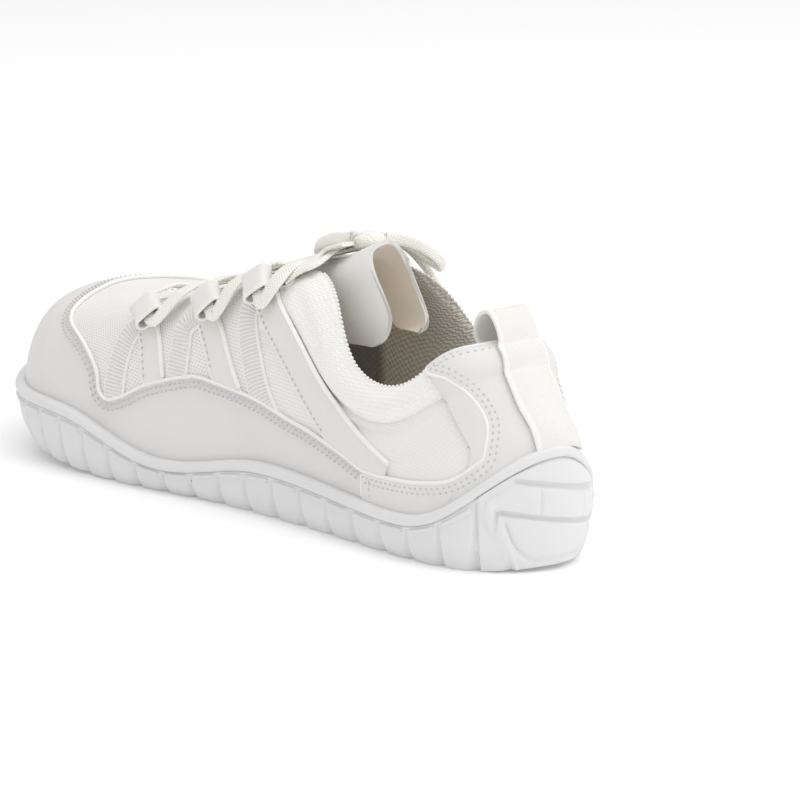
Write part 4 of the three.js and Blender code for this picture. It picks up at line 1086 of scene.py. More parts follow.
def creases(station, height):
    """Soft troughs and ridges of the worn cloth, in millimetres out of the skin."""
    total = np.zeros_like(station)
    for centre, level, turn, length, width, depth in CREASE_ROWS:
        for inner, _ in SIDES:
            ds = (station - mirror(centre, inner)) * (-1 if inner else 1)
            dh = (height - level) * HEIGHT_UNIT
            along = ds * math.cos(turn) + dh * math.sin(turn)
            across = -ds * math.sin(turn) + dh * math.cos(turn)
            total += depth * np.exp(-(along / length) ** 2 - (across / width) ** 2)
    return total


def upper_place(u, v):
    station = u * STATIONS
    row = nearest(v, OUTER_ROWS + INNER_ROWS)
    outside = row <= OUTER_ROWS
    height = EDGE * np.where(outside, row / OUTER_ROWS, 1 - (row - OUTER_ROWS) / INNER_ROWS)
    level, width, depth = COLLAR_GROOVE
    roll = np.clip(wrap_at(station)["roll"], 0, 1)
    groove = depth * roll * np.exp(-((height - level) / width) ** 2)
    swell = EDGE_SWELL * smooth(3.80, 3.95, height) * (1 - smooth(3.985, EDGE, height))
    out = np.where(height > 1.2, creases(station, height) + groove + swell, 0.0)
    points = np.where(outside[:, None], skin(station, height, out), lining(station, height))
    waves = np.sin(station * 2 * math.pi * POINTS_A_STATION)
    points[:, 2] += POINT_HEIGHT * np.maximum(waves, 0) * smooth(3.93, EDGE, height)
    return points, cloth_of(station, height)


CLOTH_STATIONS = np.linspace(0, STATIONS, 221)
CLOTH_AROUND = run_lengths(surface(CLOTH_STATIONS, 2.4))
CLOTH_HEIGHTS = np.linspace(0, EDGE, 41)
CLOTH_UP = np.stack([run_lengths(surface(station, CLOTH_HEIGHTS)) for station in CLOTH_STATIONS])


def cloth_of(station, height):
    """Cloth coordinates of the wrap: run round the foot, and run up the profile."""
    turn = np.mod(station, STATIONS)
    i = np.clip((turn / STATIONS * (len(CLOTH_UP) - 1)).astype(int), 0, len(CLOTH_UP) - 1)
    j = np.clip(np.searchsorted(CLOTH_HEIGHTS, height) - 1, 0, len(CLOTH_HEIGHTS) - 2)
    part = (height - CLOTH_HEIGHTS[j]) / (CLOTH_HEIGHTS[j + 1] - CLOTH_HEIGHTS[j])
    return np.stack([np.interp(turn, CLOTH_STATIONS, CLOTH_AROUND),
                     mix(CLOTH_UP[i, j], CLOTH_UP[i, j + 1], part)], -1)


def upper_look(u, v):
    """0 mesh, 1 collar knit, 2 lining."""
    row = v * (OUTER_ROWS + INNER_ROWS)
    knit_from = np.interp(near_back(u * STATIONS), KNIT_STATIONS, KNIT_FROM)
    return np.where(row > OUTER_ROWS, 2, np.where(EDGE * row / OUTER_ROWS > knit_from, 1, 0))


def punch(piece, station, height, bore):
    """Cuts a round hole through the upper's wall."""
    centre, out = skin(station, height), surface_normal(station, height)
    deselect()
    bpy.ops.mesh.primitive_cylinder_add(
        vertices=32, radius=bore / 2 * MM, depth=8 * MM, location=Vector((centre + SHIFT) * MM),
        rotation=Vector(out).to_track_quat("Z", "Y").to_euler())
    cutter = bpy.context.object
    apply(piece, "BOOLEAN", operation="DIFFERENCE", object=cutter, solver="EXACT")
    bpy.data.objects.remove(cutter)


class SHOE_OT_upper(bpy.types.Operator):
    """The upper: mesh outside, padded knit collar, lining inside, and the two eyelets"""
    bl_idname = "shoe.upper"
    bl_label = "Upper"

    def execute(self, context):
        piece = grid_piece("upper_cloth", UPPER_COLUMNS, OUTER_ROWS + INNER_ROWS, upper_place,
                           ["mesh", "knit", "lining"], upper_look, closed=True)
        for inner, _ in SIDES:
            punch(piece, mirror(EYELET_STATION, inner), EYELET_HEIGHT, EYELET_BORE)
        finish_piece(piece, "mesh", "upper")
        return {"FINISHED"}


# Overlays
def mudguard_edge(count):
    return both_sides(through(MUDGUARD_EDGE, count), STATIONS)


def behind_rim(station):
    """Height on the profile where the overlays end, just behind the sole's bead."""
    return height_at_level(station, rim_height(station) - 1.2)


def counter_lines():
    """The counter's edge, from seam to seam over its top, and each point's foot on the rim."""
    back = through(COUNTER_BACK_EDGE, 60)
    low = through(COUNTER_LOW_EDGE[::-1], 80)
    meet = np.interp(back[:, 0], low[:, 0], low[:, 1])
    corner = back[int(np.argmax(back[:, 1] > meet)):]
    band_part = low[low[:, 0] > corner[0, 0]][::-1]
    side = np.vstack([band_part, corner[corner[:, 1] < 3.93]])
    top = np.stack([np.linspace(side[-1, 0], 0, 32)[1:], np.full(31, side[-1, 1])], -1)
    edge = both_sides(np.vstack([side, top]), 0)
    # The feet spread along the rim
    index, last, joined = np.arange(len(edge)), len(edge) - 1, len(band_part)
    spread = np.interp(index, [0, joined, last - joined, last], [edge[0, 0], 1.9, -1.9, edge[-1, 0]])
    feet = mix(edge[:, 0], spread, smooth(0, joined, np.minimum(index, last - index)))
    feet[joined:-joined] = spread[joined:-joined]
    return edge, np.stack([feet, behind_rim(feet)], -1)


def slab(name, edge, foot, rows):
    """An overlay between a foot line and an edge line of the wrap, with its real thickness."""
    def place(u, v):
        i = nearest(u, len(edge) - 1)
        station, height = mix(foot[i], edge[i], v[:, None]).T
        return skin(station, height, CLEARANCE), cloth_of(station, height)
    piece = grid_piece(name, len(edge) - 1, rows, place, ["microfibre"])
    thicken(piece, OVERLAY_THICKNESS)
    return piece


class SHOE_OT_overlays(bpy.types.Operator):
    """The smooth mudguard round the toe and the counter round the heel"""
    bl_idname = "shoe.overlays"
    bl_label = "Overlays"

    def execute(self, context):
        edge = mudguard_edge(200)
        foot = np.stack([edge[:, 0], behind_rim(edge[:, 0])], -1)
        finish_piece(slab("mudguard_skin", edge, foot, 26), "microfibre", "mudguard")
        finish_piece(slab("counter_skin", *counter_lines(), 30), "microfibre", "counter")
        return {"FINISHED"}


# Tongue
def tongue_section(rows, thickness):
    """Points of one face of the tongue, rows by arch."""
    along, lean, half, top, foot, flare = (rows[:, k][:, None] for k in range(6))
    side, up, flared = (values[None] for values in through(TONGUE_ARCH, ARCH_POINTS).T)
    lift = (top - foot) * INSTEP_HEIGHT
    arch = np.stack([
        (along - 0.5 - lean * (1 - up) * np.where(side > 0, 1.0, INNER_LEAN)) * LENGTH,
        (side * half + np.sign(side) * flared * flare * FLARE_SHARE) * BALL_WIDTH,
        foot * INSTEP_HEIGHT + up * lift], -1)
    edge = through(FREE_EDGE, ARCH_POINTS)
    bent = smooth(FREE_START, rows[-1, 0], along)[..., None]
    arch = arch + bent * (edge - arch_normal(edge) * TONGUE_THICKNESS - arch[-1])
    return arch + arch_normal(arch) * thickness


def arch_normal(arch):
    """The way out of the tongue's arch, square to its length."""
    run = np.gradient(arch, axis=-2)
    return unit(np.stack([np.zeros(run.shape[:-1]), run[..., 2], -run[..., 1]], -1))


class SHOE_OT_tongue(bpy.types.Operator):
    """The arched tongue, its cloth face and lining face closed at its top edge"""
    bl_idname = "shoe.tongue"
    bl_label = "Tongue"

    def execute(self, context):
        rows = through(np.vstack([TONGUE_ROOT, TONGUE_ROWS]), 100)
        inner = tongue_section(rows, TONGUE_THICKNESS - TONGUE_SHEET)
        outer = tongue_section(rows, TONGUE_THICKNESS)
        section = np.concatenate([outer, inner[:, ::-1]], 1)
        count = section.shape[1]

        def place(u, v):
            i, j = nearest(u, len(rows) - 1), nearest(v, count) % count
            return section[i, j], np.stack([np.minimum(j, count - 1 - j) * 0.9, i * 1.4], -1)

        def face_look(u, v):
            return np.where(v * count < count / 2 - 0.5, 0, 1)
        piece = grid_piece("tongue_pad", len(rows) - 1, count, place, ["tongue", "tongue_back"],
                           face_look)
        close_ends(piece)
        finish_piece(piece, "tongue_cloth", "tongue")
        return {"FINISHED"}


# How far the straps' pull presses them into the cloth below them, and how much they are domed
STRAP_SINK = 1.05
STRAP_CROWN = 0.45
RIBBON_POINTS, RIBBON_COLUMNS = 110, 12
# Cloth width that the webbing materials expect between their selvedges
SELVEDGED = 10.0
OVERLAY_TOP = np.vstack([through(COUNTER_LOW_EDGE[::-1], 60)[:-1], through(MUDGUARD_EDGE, 200)])
# The rolled rear edge of a plain strap: width, height, lift; and its seam's inset and pitch
STRAP_ROLL = (1.5, 2.0, 0.7)
STRAP_SEAM = (1.5, 2.4)
TUNNEL_BORE = LACE_THICKNESS + 2.0
LACE_LIFT = TUNNEL_BORE / 2 + STRAP_THICKNESS + 2 * CLEARANCE


def overlay_top(station):
    """Height of the overlays' edge at a station of either side."""
    return np.interp(near_back(station), *OVERLAY_TOP.T)


def tucked(station, height, distance):
    """A distance from the skin that drops into the wall where an overlay covers the place."""
    free = smooth(-0.06, 0.03, height - overlay_top(station))
    return mix(-STRAP_THICKNESS, distance, free)


def ribbon(name, places, widths, near, look):
    """A strap on the upper, and the line of places along its rear edge and its front edge."""
    station, height = through(places, RIBBON_POINTS).T
    line, out = skin(station, height), surface_normal(station, height)
    side = unit(np.cross(out, unit(np.gradient(line, axis=0))))
    width = np.linspace(*widths, RIBBON_POINTS)
    length = run_lengths(line)

    def place(u, v):
        i = nearest(v, RIBBON_POINTS - 1)
        s, h = step_on_wrap(station[i], height[i], side[i], (u - 0.5) * width[i])
        crown = STRAP_CROWN * (1 - (2 * u - 1) ** 4)
        points = skin(s, np.minimum(h, EDGE), tucked(s, h, near + crown))
        return points, np.stack([(u - 0.5) * SELVEDGED, length[i]], -1)
    piece = grid_piece(name, RIBBON_COLUMNS, RIBBON_POINTS - 1, place, [look])
    middle = RIBBON_POINTS // 2
    if np.dot(piece.data.polygons[middle * RIBBON_COLUMNS].normal, out[middle]) < 0:
        edit(piece, (bpy.ops.mesh.flip_normals, {}))
    thicken(piece, STRAP_THICKNESS, 0.3)
    edges = [np.stack(step_on_wrap(station, height, side, share * width), -1) for share in (-0.5, 0.5)]
    return piece, sorted(edges, key=lambda edge: np.mean(skin(*edge.T)[:, 0]))


def tunnel_frame(index, inner):
    """A lace tunnel's centre, its axis to the toe, the ways up the wrap and out, and its length."""
    station, height, length = TUNNEL_ROWS[index]
    station = mirror(station, inner)
    centre = skin(station, height)
    normal = surface_normal(station, height)
    up = unit(skin(station, height + 0.05) - centre)
    axis = unit(np.cross(up, normal))
    return centre + normal * LACE_LIFT, axis * (-1 if axis[0] < 0 else 1), up, normal, length


def sleeve(name, index, inner):
    """The folded top of a strap pair, through which the lace runs: pinched in its middle."""
    centre, axis, up, normal, length = tunnel_frame(index, inner)
    radius = TUNNEL_BORE / 2
    straight = TUNNEL_HEIGHT / 2 - radius

    def place(u, v):
        turn = v * 2 * math.pi
        flare = 1 + 0.10 * (2 * u - 1) ** 2
        a = (np.clip(np.cos(turn) * 2.2, -1, 1) * straight + radius * np.cos(turn)) * flare
        b = radius * np.sin(turn) * (1 + 0.12 * np.cos(turn))
        points = centre + sum(np.multiply.outer(part, way) for part, way in (
            (a, up), (b, normal), ((u - 0.5) * length, axis)))
        return points, np.stack([(u - 0.5) * SELVEDGED, v * 28.0], -1)
    piece = grid_piece(name, 16, 48, place, ["webbing"], closed=True)
    thicken(piece, STRAP_THICKNESS, 0.35, angle_limit=1.0)
    return piece


def above_overlay(line, margin):
    """The part of a line of places that no overlay covers."""
    return line[line[:, 1] > overlay_top(line[:, 0]) + margin]


class SHOE_OT_straps(bpy.types.Operator):
    """The three pairs of webbing straps on each side, folded round the lace at their tops"""
    bl_idname = "shoe.straps"
    bl_label = "Straps"

    def execute(self, context):
        for inner, side in SIDES:
            for index in range(len(TUNNEL_ROWS)):
                self.pair(inner, f"{side}_{index + 1}", index)
        return {"FINISHED"}

    def pair(self, inner, label, index):
        """A ribbed leg and a plain one with a rolled edge and a seam, and their sleeve."""
        station, height, _ = TUNNEL_ROWS[index]
        legs = [row for row in LEG_ROWS if row[0] == index + 1]
        for order, (_, *places, foot_width, top_width) in enumerate(legs):
            line = [(mirror(places[k], inner), places[k + 1]) for k in (0, 2, 4)]
            near = STRAP_GAP + order * 0.1 - STRAP_SINK
            leg, (rear, front) = ribbon(
                f"strap_{label}_{'ab'[order]}", [*line, (mirror(station, inner), height)],
                (foot_width, top_width), near, ("ribbed", "webbing")[order])
            finish_piece(leg, "webbing", f"straps_{label}", angle=35)
        roll = edge_bead(f"strap_roll_{label}", above_overlay(rear, 0.04), *STRAP_ROLL, "trim")
        finish_piece(roll, "webbing")
        inset, pitch = STRAP_SEAM
        seam = inside_line(above_overlay(front, 0.09), inset if inner else -inset)
        thread = stitch_piece(f"strap_stitches_{label}", [evenly(seam, pitch)],
                              STRAP_GAP + STRAP_THICKNESS + 0.5 - STRAP_SINK)
        finish_piece(thread, "webbing")
        finish_piece(sleeve(f"sleeve_{label}", index, inner), "webbing", f"straps_{label}", angle=35)


# The heel strip's grid: columns, the middle one, rows up the heel and round the loop, and where it
# leaves the wrap and ends inside, as heights on the profile
STRIP_COLUMNS, STRIP_MIDDLE = 14, 7
CLIMB_ROWS, LOOP_ROWS = 46, 44
STRIP_TOP, STRIP_INSIDE = 3.6, 3.1
# The pull loop's way over the collar, as shares of its reach forward and its height
PULL_LOOP = ((-0.5, 0.6), (-0.05, 1), (0.5, 0.8), (0.68, 0.15))


class SHOE_OT_heel_strip(bpy.types.Operator):
    """The webbing strip up the back of the heel, with the pull loop over the collar"""
    bl_idname = "shoe.heel_strip"
    bl_label = "Heel strip"

    def execute(self, context):
        near = 2 * CLEARANCE + OVERLAY_THICKNESS + 0.1
        middle = near + WEB_THICKNESS / 2
        across = np.linspace(-0.5, 0.5, STRIP_COLUMNS + 1)
        sideways = np.array([0.0, 1.0, 0.0])

        def on_wrap(height):
            zero = np.zeros_like(across)
            s, h = step_on_wrap(zero, zero + height, sideways, across * WEB_WIDTH)
            return skin(s, np.minimum(h, EDGE), middle)
        start = float(behind_rim(np.zeros(1))[0])
        climb = [on_wrap(height) for height in np.linspace(start, STRIP_TOP, CLIMB_ROWS)]
        edge = surface(0, EDGE) * [1, 0, 1]
        inside = lining(0, STRIP_INSIDE) - surface_normal(0, STRIP_INSIDE) * 2 * near
        bends = [edge + [forward * PULL_LOOP_REACH, 0, up * PULL_LOOP_HEIGHT] for forward, up in PULL_LOOP]
        line = through([skin(0, STRIP_TOP, middle), *bends, inside], LOOP_ROWS)
        bow = (climb[-1] - climb[-1][STRIP_MIDDLE])[:, :1] * [1, 0, 0]
        loop = [at + np.multiply.outer(across * WEB_WIDTH, sideways) + bow for at in line[1:]]
        rows = np.array(climb + loop)
        length = run_lengths(rows[:, STRIP_MIDDLE])

        def place(u, v):
            i, j = nearest(v, len(rows) - 1), nearest(u, STRIP_COLUMNS)
            return rows[i, j], np.stack([across[j] * SELVEDGED, length[i]], -1)
        piece = grid_piece("heel_webbing", STRIP_COLUMNS, len(rows) - 1, place, ["webbing"])
        thicken(piece, WEB_THICKNESS, 0.4, offset=0.0)
        finish_piece(piece, "webbing", "heel_strip", angle=35)
        return {"FINISHED"}


# The lace: through the tunnels and across the tongue, then from the eyelets to the knot
LACE_LOW = 1.6
LACE_HIGH = 3.1
# Beyond a tunnel's end: where the lace turns, and where it starts to climb, as reach and height
TURN_OUT = (1.6, 0.07)
CLIMB_START = (0.7 * (LACE_WIDTH / 2 + 2.2), 0.2)
GATHERED = 0.66
LACE_RISE = LACE_LIFT + 0.5
EDGE_LIFT = 3.0
CLIMB_LIFT = 1.2
EYELET_LIFT = LACE_THICKNESS / 2 + 2 * CLEARANCE
TOP_NORMAL = (0.33, 0.0, 1.0)
# Where the bar and the two crossings pass the middle line and the throat's edge
BAR_X, BAR_EDGE_X = 44, 42
CROSSING_X = (14, -12)
CROSSING_SPREAD = 5
# The top crossing: the throat's edge, two places over the tongue, the edge again; and how far beside
# the middle line those two places lie. Then where the lace leaves an eyelet for the knot.
TOP_CROSSING_X = (-27, -29, -33, -35)
TOP_SPREAD = 8
KNOT_EDGE_X = -31
CLIMB_SHARES = (0, 0.33, 0.66, 1)
KNOT = (-42.0, 1.0, 3.3)
KNOT_REACH = 9.0
KNOT_SIZE = (5.0, 5.0, 2.8)
# Stops over the tongue from an eyelet to the knot: x, y and rise
KNOT_WAYS = {"outer": ((-34, 12, 3), (KNOT[0], KNOT[1] + KNOT_REACH, KNOT[2])),
             "inner": ((-32.5, -12, 2.2), (-34.5, -8.5, 1.5))}


def tongue_top(x):
    """Height of the tongue's inner face on its middle line."""
    return np.interp(x / LENGTH + 0.5, TONGUE_ROWS[::-1, 0], TONGUE_ROWS[::-1, 3]) * INSTEP_HEIGHT


def over_tongue(x, y, rise):
    return [x, y, tongue_top(x) + TONGUE_THICKNESS + rise, *TOP_NORMAL]


def beside_tunnel(index, shift):
    """The place of the wrap beyond a tunnel's end, on the outer side."""
    station, height, length = TUNNEL_ROWS[index]
    axis = tunnel_frame(index, False)[1]
    return step_on_wrap(station, height, axis, math.copysign(length / 2 + abs(shift), shift))


def edge_station(x):
    """The station on the outer side where the throat's edge lies at x."""
    stations = np.linspace(5, TOE, 300)
    return np.interp(x, surface(stations, EDGE)[:, 0], stations)


def on_skin(station, height, inner, lift):
    station = mirror(station, inner)
    return [*skin(station, height, lift), *surface_normal(station, height)]


def climb(start, x, inner, lift=LACE_RISE):
    """Stops from one place of the wrap up to the throat's edge."""
    end = (edge_station(x), EDGE)
    return [on_skin(mix(start[0], end[0], t), mix(start[1], end[1], t), inner,
                    mix(lift, EDGE_LIFT, t) + CLIMB_LIFT * t * (1 - t)) for t in CLIMB_SHARES]


def tunnel_run(index, inner):
    """Stops through a tunnel from its rear end to its front end."""
    centre, axis, _, normal, length = tunnel_frame(index, inner)
    return [[*(centre + axis * length * share), *normal, GATHERED] for share in (-0.5, 0, 0.5)]


def rising(index, inner, end, x):
    """Stops from where the lace leaves a tunnel and turns up, to the throat's edge."""
    station, height = beside_tunnel(index, end * TURN_OUT[0])
    turn = [*on_skin(station, height + TURN_OUT[1], inner, LACE_RISE), GATHERED]
    station, height = beside_tunnel(index, end * CLIMB_START[0])
    return [turn, *climb((station, height + CLIMB_START[1]), x, inner)[1:]]


def crossing(index, inner, rise):
    x = CROSSING_X[index]
    return [*rising(index, inner, -1, x + CROSSING_SPREAD), over_tongue(x, 0, rise),
            *rising(index + 1, not inner, 1, x - CROSSING_SPREAD)[::-1]]


def from_eyelet(inner, x):
    return climb((EYELET_STATION, EYELET_HEIGHT), x, inner, EYELET_LIFT)


def to_eyelet(inner, rise):
    side = -TOP_SPREAD if inner else TOP_SPREAD
    start, over, under, end = TOP_CROSSING_X
    return [*rising(2, inner, -1, start), over_tongue(over, side, rise),
            over_tongue(under, -side, rise), *from_eyelet(not inner, end)[::-1]]


def lace_runs():
    """Each half of the lace, from the bar at the toe through its straps to its eyelet, and the tops."""
    runs = {}
    for first, name in SIDES:
        rise = LACE_HIGH if first else LACE_LOW
        runs[f"lace_{name}_run"] = [
            over_tongue(BAR_X, 0, LACE_LOW), *rising(0, first, 1, BAR_EDGE_X)[::-1],
            *tunnel_run(0, first)[::-1], *crossing(0, first, rise),
            *tunnel_run(1, not first)[::-1], *crossing(1, not first, rise),
            *tunnel_run(2, first)[::-1], *to_eyelet(first, rise)]
        runs[f"lace_{name}_top"] = [*from_eyelet(first, KNOT_EDGE_X),
                                    *(over_tongue(*stop) for stop in KNOT_WAYS[name])]
    return runs


class SHOE_OT_lace(bpy.types.Operator):
    """The flat lace through the straps, across the tongue and up to the knot"""
    bl_idname = "shoe.lace"
    bl_label = "Lace"

    def execute(self, context):
        for name, stops in lace_runs().items():
            piece = band(name, stops, LACE_WIDTH, LACE_THICKNESS, "lace")
            finish_piece(piece, "lace_cord", "lace", angle=60)
        return {"FINISHED"}


# The bow: the points of each cord
CORD_WIDTH = 4.4
CORD_THICKNESS = 1.9
CORD_ROWS = {
    "lace_loop_outer": (
        (-44.9, -4.5, 95.4), (-47.2, -10.5, 94.4), (-49.5, -17.5, 91.0), (-50.0, -23.5, 86.4),
        (-47.5, -27.0, 83.4), (-45.0, -23.5, 86.4), (-44.2, -17.0, 91.0), (-43.1, -11.0, 94.2),
        (-41.9, -4.5, 95.2)),
    "lace_loop_inner": (
        (-35.4, 4.4, 95.2), (-30.0, 6.0, 94.6), (-21.0, 5.5, 91.2), (-14.5, 1.0, 88.0),
        (-14.0, -5.0, 87.4), (-20.0, -7.0, 90.0), (-28.0, -3.0, 93.6), (-35.4, 0.6, 95.2)),
    "lace_end_outer": (
        (-38.9, -4.7, 95.2), (-39.8, -10.5, 93.9), (-40.8, -16.5, 90.4), (-41.2, -21.0, 86.4),
        (-41.8, -26.0, 80.6), (-42.6, -30.0, 73.6), (-43.0, -32.6, 66.5)),
    "lace_end_inner": (
        (-35.6, -2.8, 95.0), (-31.0, -8.0, 94.2), (-27.0, -14.0, 92.4), (-23.5, -20.0, 90.4),
        (-20.0, -27.0, 88.0), (-17.5, -33.0, 83.5), (-16.5, -38.5, 75.0), (-16.5, -41.6, 66.0)),
}
# Each cord's faces at its start, middle and end, and its far end
CORD_FACES = {
    "lace_loop_outer": ((-1, 0, 0.2), (0, -0.8, -0.6), (1, 0, 0.2)),
    "lace_loop_inner": ((0, 1, 0.2), (1, 0.2, 0.1), (0, -1, 0.2)),
    "lace_end_outer": ((0, -0.3, 1), (0, -0.7, 0.7), (0, -1, 0.4)),
    "lace_end_inner": ((0.3, 0, 1), (0.4, -0.3, 1), (0.2, -1, 0.4)),
}
# The turn of lace round the knot: width, thickness, and how far it leans along Y
KNOT_WRAP = (5.2, 1.3, 1.3)


def knot_piece():
    """The knot: a waisted lump along Y, with a turn of the lace wrapped round it."""
    centre = np.array(over_tongue(*KNOT)[:3])
    size = np.array(KNOT_SIZE)

    def place(u, v):
        along, turn = 2 * u - 1, v * 2 * math.pi
        girth = np.sqrt(np.clip(1 - np.abs(along) ** 3.2, 0, 1)) * (
            0.86 + 0.14 * np.exp(-((np.abs(along) - 0.52) / 0.2) ** 2))
        twist = 0.07 * np.sin(2 * turn + along * 5)
        points = np.stack([np.cos(turn) * size[0] * girth * (1 + twist), along * size[1],
                           np.sin(turn) * size[2] * girth * (1 + twist)], -1)
        return centre + points, np.stack([along * size[1], turn * 3], -1)
    lump = close_ends(grid_piece("knot_lump", 24, 32, place, ["lace"]))
    width, thick, lean = KNOT_WRAP
    turns = [(math.cos(a), math.sin(a)) for a in np.linspace(0, 2 * math.pi, 19)]
    stops = [[*(centre + [c * (size[0] - 0.2), lean * c, s * (size[2] - 0.1)]), c, 0.1, s]
             for c, s in turns]
    return lump, band("knot_wrap", stops, width, thick, "lace")


class SHOE_OT_bow(bpy.types.Operator):
    """The knot and the bow's loops and ends"""
    bl_idname = "shoe.bow"
    bl_label = "Bow"

    def execute(self, context):
        lump, wrap = knot_piece()
        finish_piece(lump, "lace_cord", "lace_knot", angle=60)
        finish_piece(wrap, "lace_cord", angle=60)
        for name, points in CORD_ROWS.items():
            line = np.array(points)
            share = run_lengths(line) / run_lengths(line)[-1]
            faces = [np.interp(share, (0, 0.5, 1), values) for values in np.array(CORD_FACES[name]).T]
            stops = np.concatenate([line, unit(np.stack(faces, -1))], 1)
            piece = band(f"{name}_band", stops, CORD_WIDTH, CORD_THICKNESS, "lace")
            finish_piece(piece, "lace_cord", name, angle=60)
            path = (through(line, 60) + SHIFT) * MM
        return {"FINISHED"}


# Turned edges and seams: heights of the edge beads and of the stitches in their dents
EDGE_HEIGHT = 1.7
STITCH_DENT = 0.1
STITCH_INSET = 1.9
CORNER_DISTANCE = 1.7
# The side seam: its top on the profile, its row of stitches in stations, and its bead's size
SEAM_TOP = 1.80
SEAM_ROW = -0.13
SEAM_BEAD = (0.8, 0.9)
# Woven points along the opening's padded edge: first and last station, pitch, lift and size
POINTS_FROM, POINTS_TO = 2.35, 5.60
POINTS_PITCH = 1.7
POINTS_LIFT = 0.25
POINTS_SIZE = (1.45, 1.3, 1.2)
# The eyelet's ring: radius, lift, width and thickness
EYELET_RING = (2.7, 0.2, 0.9, 0.8)


class SHOE_OT_seams(bpy.types.Operator):
    """The pale raised edges of the overlays, their stitches, the eyelets' rings and the woven points"""
    bl_idname = "shoe.seams"
    bl_label = "Seams"

    def execute(self, context):
        sizes = context.scene.shoe_sizes
        wide, pitch, apart = (value / MM for value in (
            sizes.piping_width, sizes.stitch_pitch, sizes.stitch_rows_apart))
        top = CLEARANCE + OVERLAY_THICKNESS
        for name, edge, down in (("mudguard", mudguard_edge(260), 1), ("counter", counter_lines()[0], -1)):
            bead = edge_bead(f"{name}_edge", edge, wide, EDGE_HEIGHT, top - 0.55, "trim")
            finish_piece(bead, "microfibre", angle=60)
            rows = [evenly(inside_line(edge, down * inset), pitch, shift)
                    for inset, shift in ((STITCH_INSET, 0.0), (STITCH_INSET + apart, 0.5))]
            rows = [clear_of(row, edge, CORNER_DISTANCE) for row in rows]
            finish_piece(stitch_piece(f"{name}_stitches", rows, top - STITCH_DENT), "microfibre")
        station = np.array([SEAM_STATION])
        bottom = height_at_level(station, rim_height(station) + 2 * CLEARANCE)[0] + 0.05
        for inner, side in SIDES:
            seam, row = (np.stack([np.full(30, mirror(SEAM_STATION + shift, inner)),
                                   np.linspace(bottom, SEAM_TOP, 30)], -1) for shift in (0.0, SEAM_ROW))
            bead = edge_bead(f"seam_edge_{side}", seam, *SEAM_BEAD, top - 0.15, "trim")
            finish_piece(bead, "microfibre", angle=60)
            thread = stitch_piece(f"seam_stitches_{side}", [evenly(row, pitch)], top - STITCH_DENT)
            finish_piece(thread, "microfibre")
            self.eyelet(inner, side)
            line = mirror(np.linspace(POINTS_FROM, POINTS_TO, 300), inner)
            places = evenly(np.stack([line, np.full(300, EDGE)], -1), POINTS_PITCH)
            points = stitch_piece(f"collar_points_{side}", [places], POINTS_LIFT, "trim", POINTS_SIZE)
            finish_piece(points, "mesh")
        return {"FINISHED"}

    def eyelet(self, inner, side):
        radius, lift, width, thick = EYELET_RING
        station = mirror(EYELET_STATION, inner)
        centre, out = skin(station, EYELET_HEIGHT), surface_normal(station, EYELET_HEIGHT)
        across = unit(np.cross(out, [0.0, 0.0, 1.0]))
        up = np.cross(across, out)
        stops = [[*(centre + out * lift + (across * math.cos(a) + up * math.sin(a)) * radius), *out]
                 for a in np.linspace(0, 2 * math.pi, 40)]
        ring = band(f"eyelet_ring_{side}", stops, width, thick, "trim", step=0.6, flat=0.9, around=8)
        finish_piece(ring, "mesh", angle=60)


# Stage: the camera, in millimetres and degrees, with its scale in pixels for a millimetre
CAMERA_TARGET = (0.0, -47.17, 24.92)
CAMERA_AZIMUTH = 230.78
CAMERA_ELEVATION = 13.0
CAMERA_DISTANCE = 1400.0
PICTURE_SCALE = 2.7855
PICTURE_WIDTH = 800
SENSOR_WIDTH = 36.0
WORLD_STRENGTH = 0.66
# Lights: name, place and size in metres, and power
LIGHT_ROWS = (
    ("key", (-1.35, -0.75, 1.75), 2.2, 22.0),
    ("top", (0.1, 0.4, 2.3), 2.0, 17.0),
    ("rear", (-2.0, 0.1, 0.75), 1.2, 1.2),
)


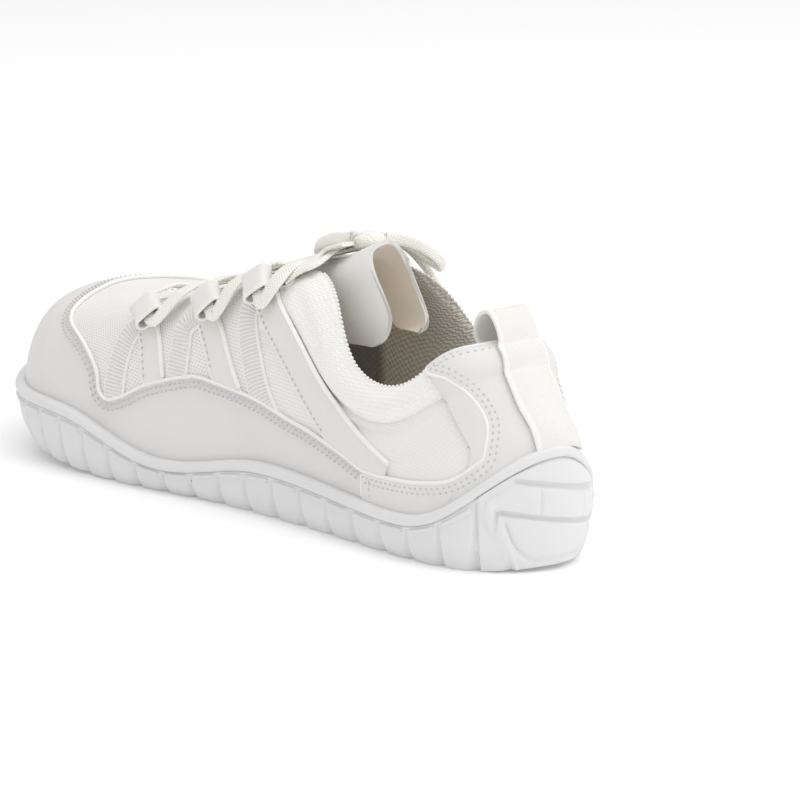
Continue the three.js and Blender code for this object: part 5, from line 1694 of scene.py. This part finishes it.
class SHOE_OT_stage(bpy.types.Operator):
    """The pale floor, the soft light and the camera"""
    bl_idname = "shoe.stage"
    bl_label = "Stage"

    def execute(self, context):
        deselect()
        bpy.ops.mesh.primitive_plane_add(size=12)
        floor = context.object
        floor.name = "floor"
        floor.data.materials.append(look_for("floor"))
        azimuth, elevation = math.radians(CAMERA_AZIMUTH), math.radians(CAMERA_ELEVATION)
        back = Vector((math.sin(azimuth) * math.cos(elevation),
                       -math.cos(azimuth) * math.cos(elevation), math.sin(elevation)))
        target = Vector((np.array(CAMERA_TARGET) + SHIFT) * MM)
        camera = bpy.data.objects.new("camera", bpy.data.cameras.new("camera"))
        context.collection.objects.link(camera)
        camera.location = target + back * CAMERA_DISTANCE * MM
        camera.rotation_euler = (-back).to_track_quat("-Z", "Y").to_euler()
        camera.data.sensor_width = SENSOR_WIDTH
        camera.data.lens = SENSOR_WIDTH * PICTURE_SCALE * CAMERA_DISTANCE / PICTURE_WIDTH
        camera.data.clip_start, camera.data.clip_end = 0.05, 50
        context.scene.camera = camera
        world = bpy.data.worlds.new("studio")
        world.use_nodes = True
        background = world.node_tree.nodes["Background"]
        background.inputs["Color"].default_value = (1, 1, 1, 1)
        background.inputs["Strength"].default_value = WORLD_STRENGTH
        context.scene.world = world
        context.scene.view_settings.view_transform = "Standard"
        for row in LIGHT_ROWS:
            light(*row)
        return {"FINISHED"}


def light(name, place, size, power):
    """A soft square light that faces the shoe."""
    data = bpy.data.lights.new(name, "AREA")
    data.size = size
    data.energy = power
    lamp = bpy.data.objects.new(name, data)
    bpy.context.collection.objects.link(lamp)
    lamp.location = place
    lamp.rotation_euler = Vector(place).to_track_quat("Z", "Y").to_euler()


class SHOE_PT_panel(bpy.types.Panel):
    """Lists the shoe's sizes, colours and steps"""
    bl_idname = "SHOE_PT_panel"
    bl_label = "Barefoot shoe"
    bl_space_type = "VIEW_3D"
    bl_region_type = "UI"
    bl_category = "Shoe"

    def draw(self, context):
        for group in (context.scene.shoe_sizes, context.scene.shoe_colours):
            for key in group.__annotations__:
                self.layout.prop(group, key)
        for step in STEPS:
            self.layout.operator(step.bl_idname)


STEPS = (SHOE_OT_stage, SHOE_OT_lace, SHOE_OT_bow, SHOE_OT_outsole, SHOE_OT_insole, SHOE_OT_upper,
         SHOE_OT_overlays, SHOE_OT_tongue, SHOE_OT_straps, SHOE_OT_heel_strip, SHOE_OT_seams)
CLASSES = (Settings, Colours, *STEPS, SHOE_PT_panel)


def register():
    for item in CLASSES:
        bpy.utils.register_class(item)
    bpy.types.Scene.shoe_sizes = PointerProperty(type=Settings)
    bpy.types.Scene.shoe_colours = PointerProperty(type=Colours)


def unregister():
    del bpy.types.Scene.shoe_colours
    del bpy.types.Scene.shoe_sizes
    for item in reversed(CLASSES):
        bpy.utils.unregister_class(item)


def main():
    register()
    for step in STEPS:
        group, name = step.bl_idname.split(".")
        getattr(getattr(bpy.ops, group), name)()


if __name__ == "__main__":
    main()
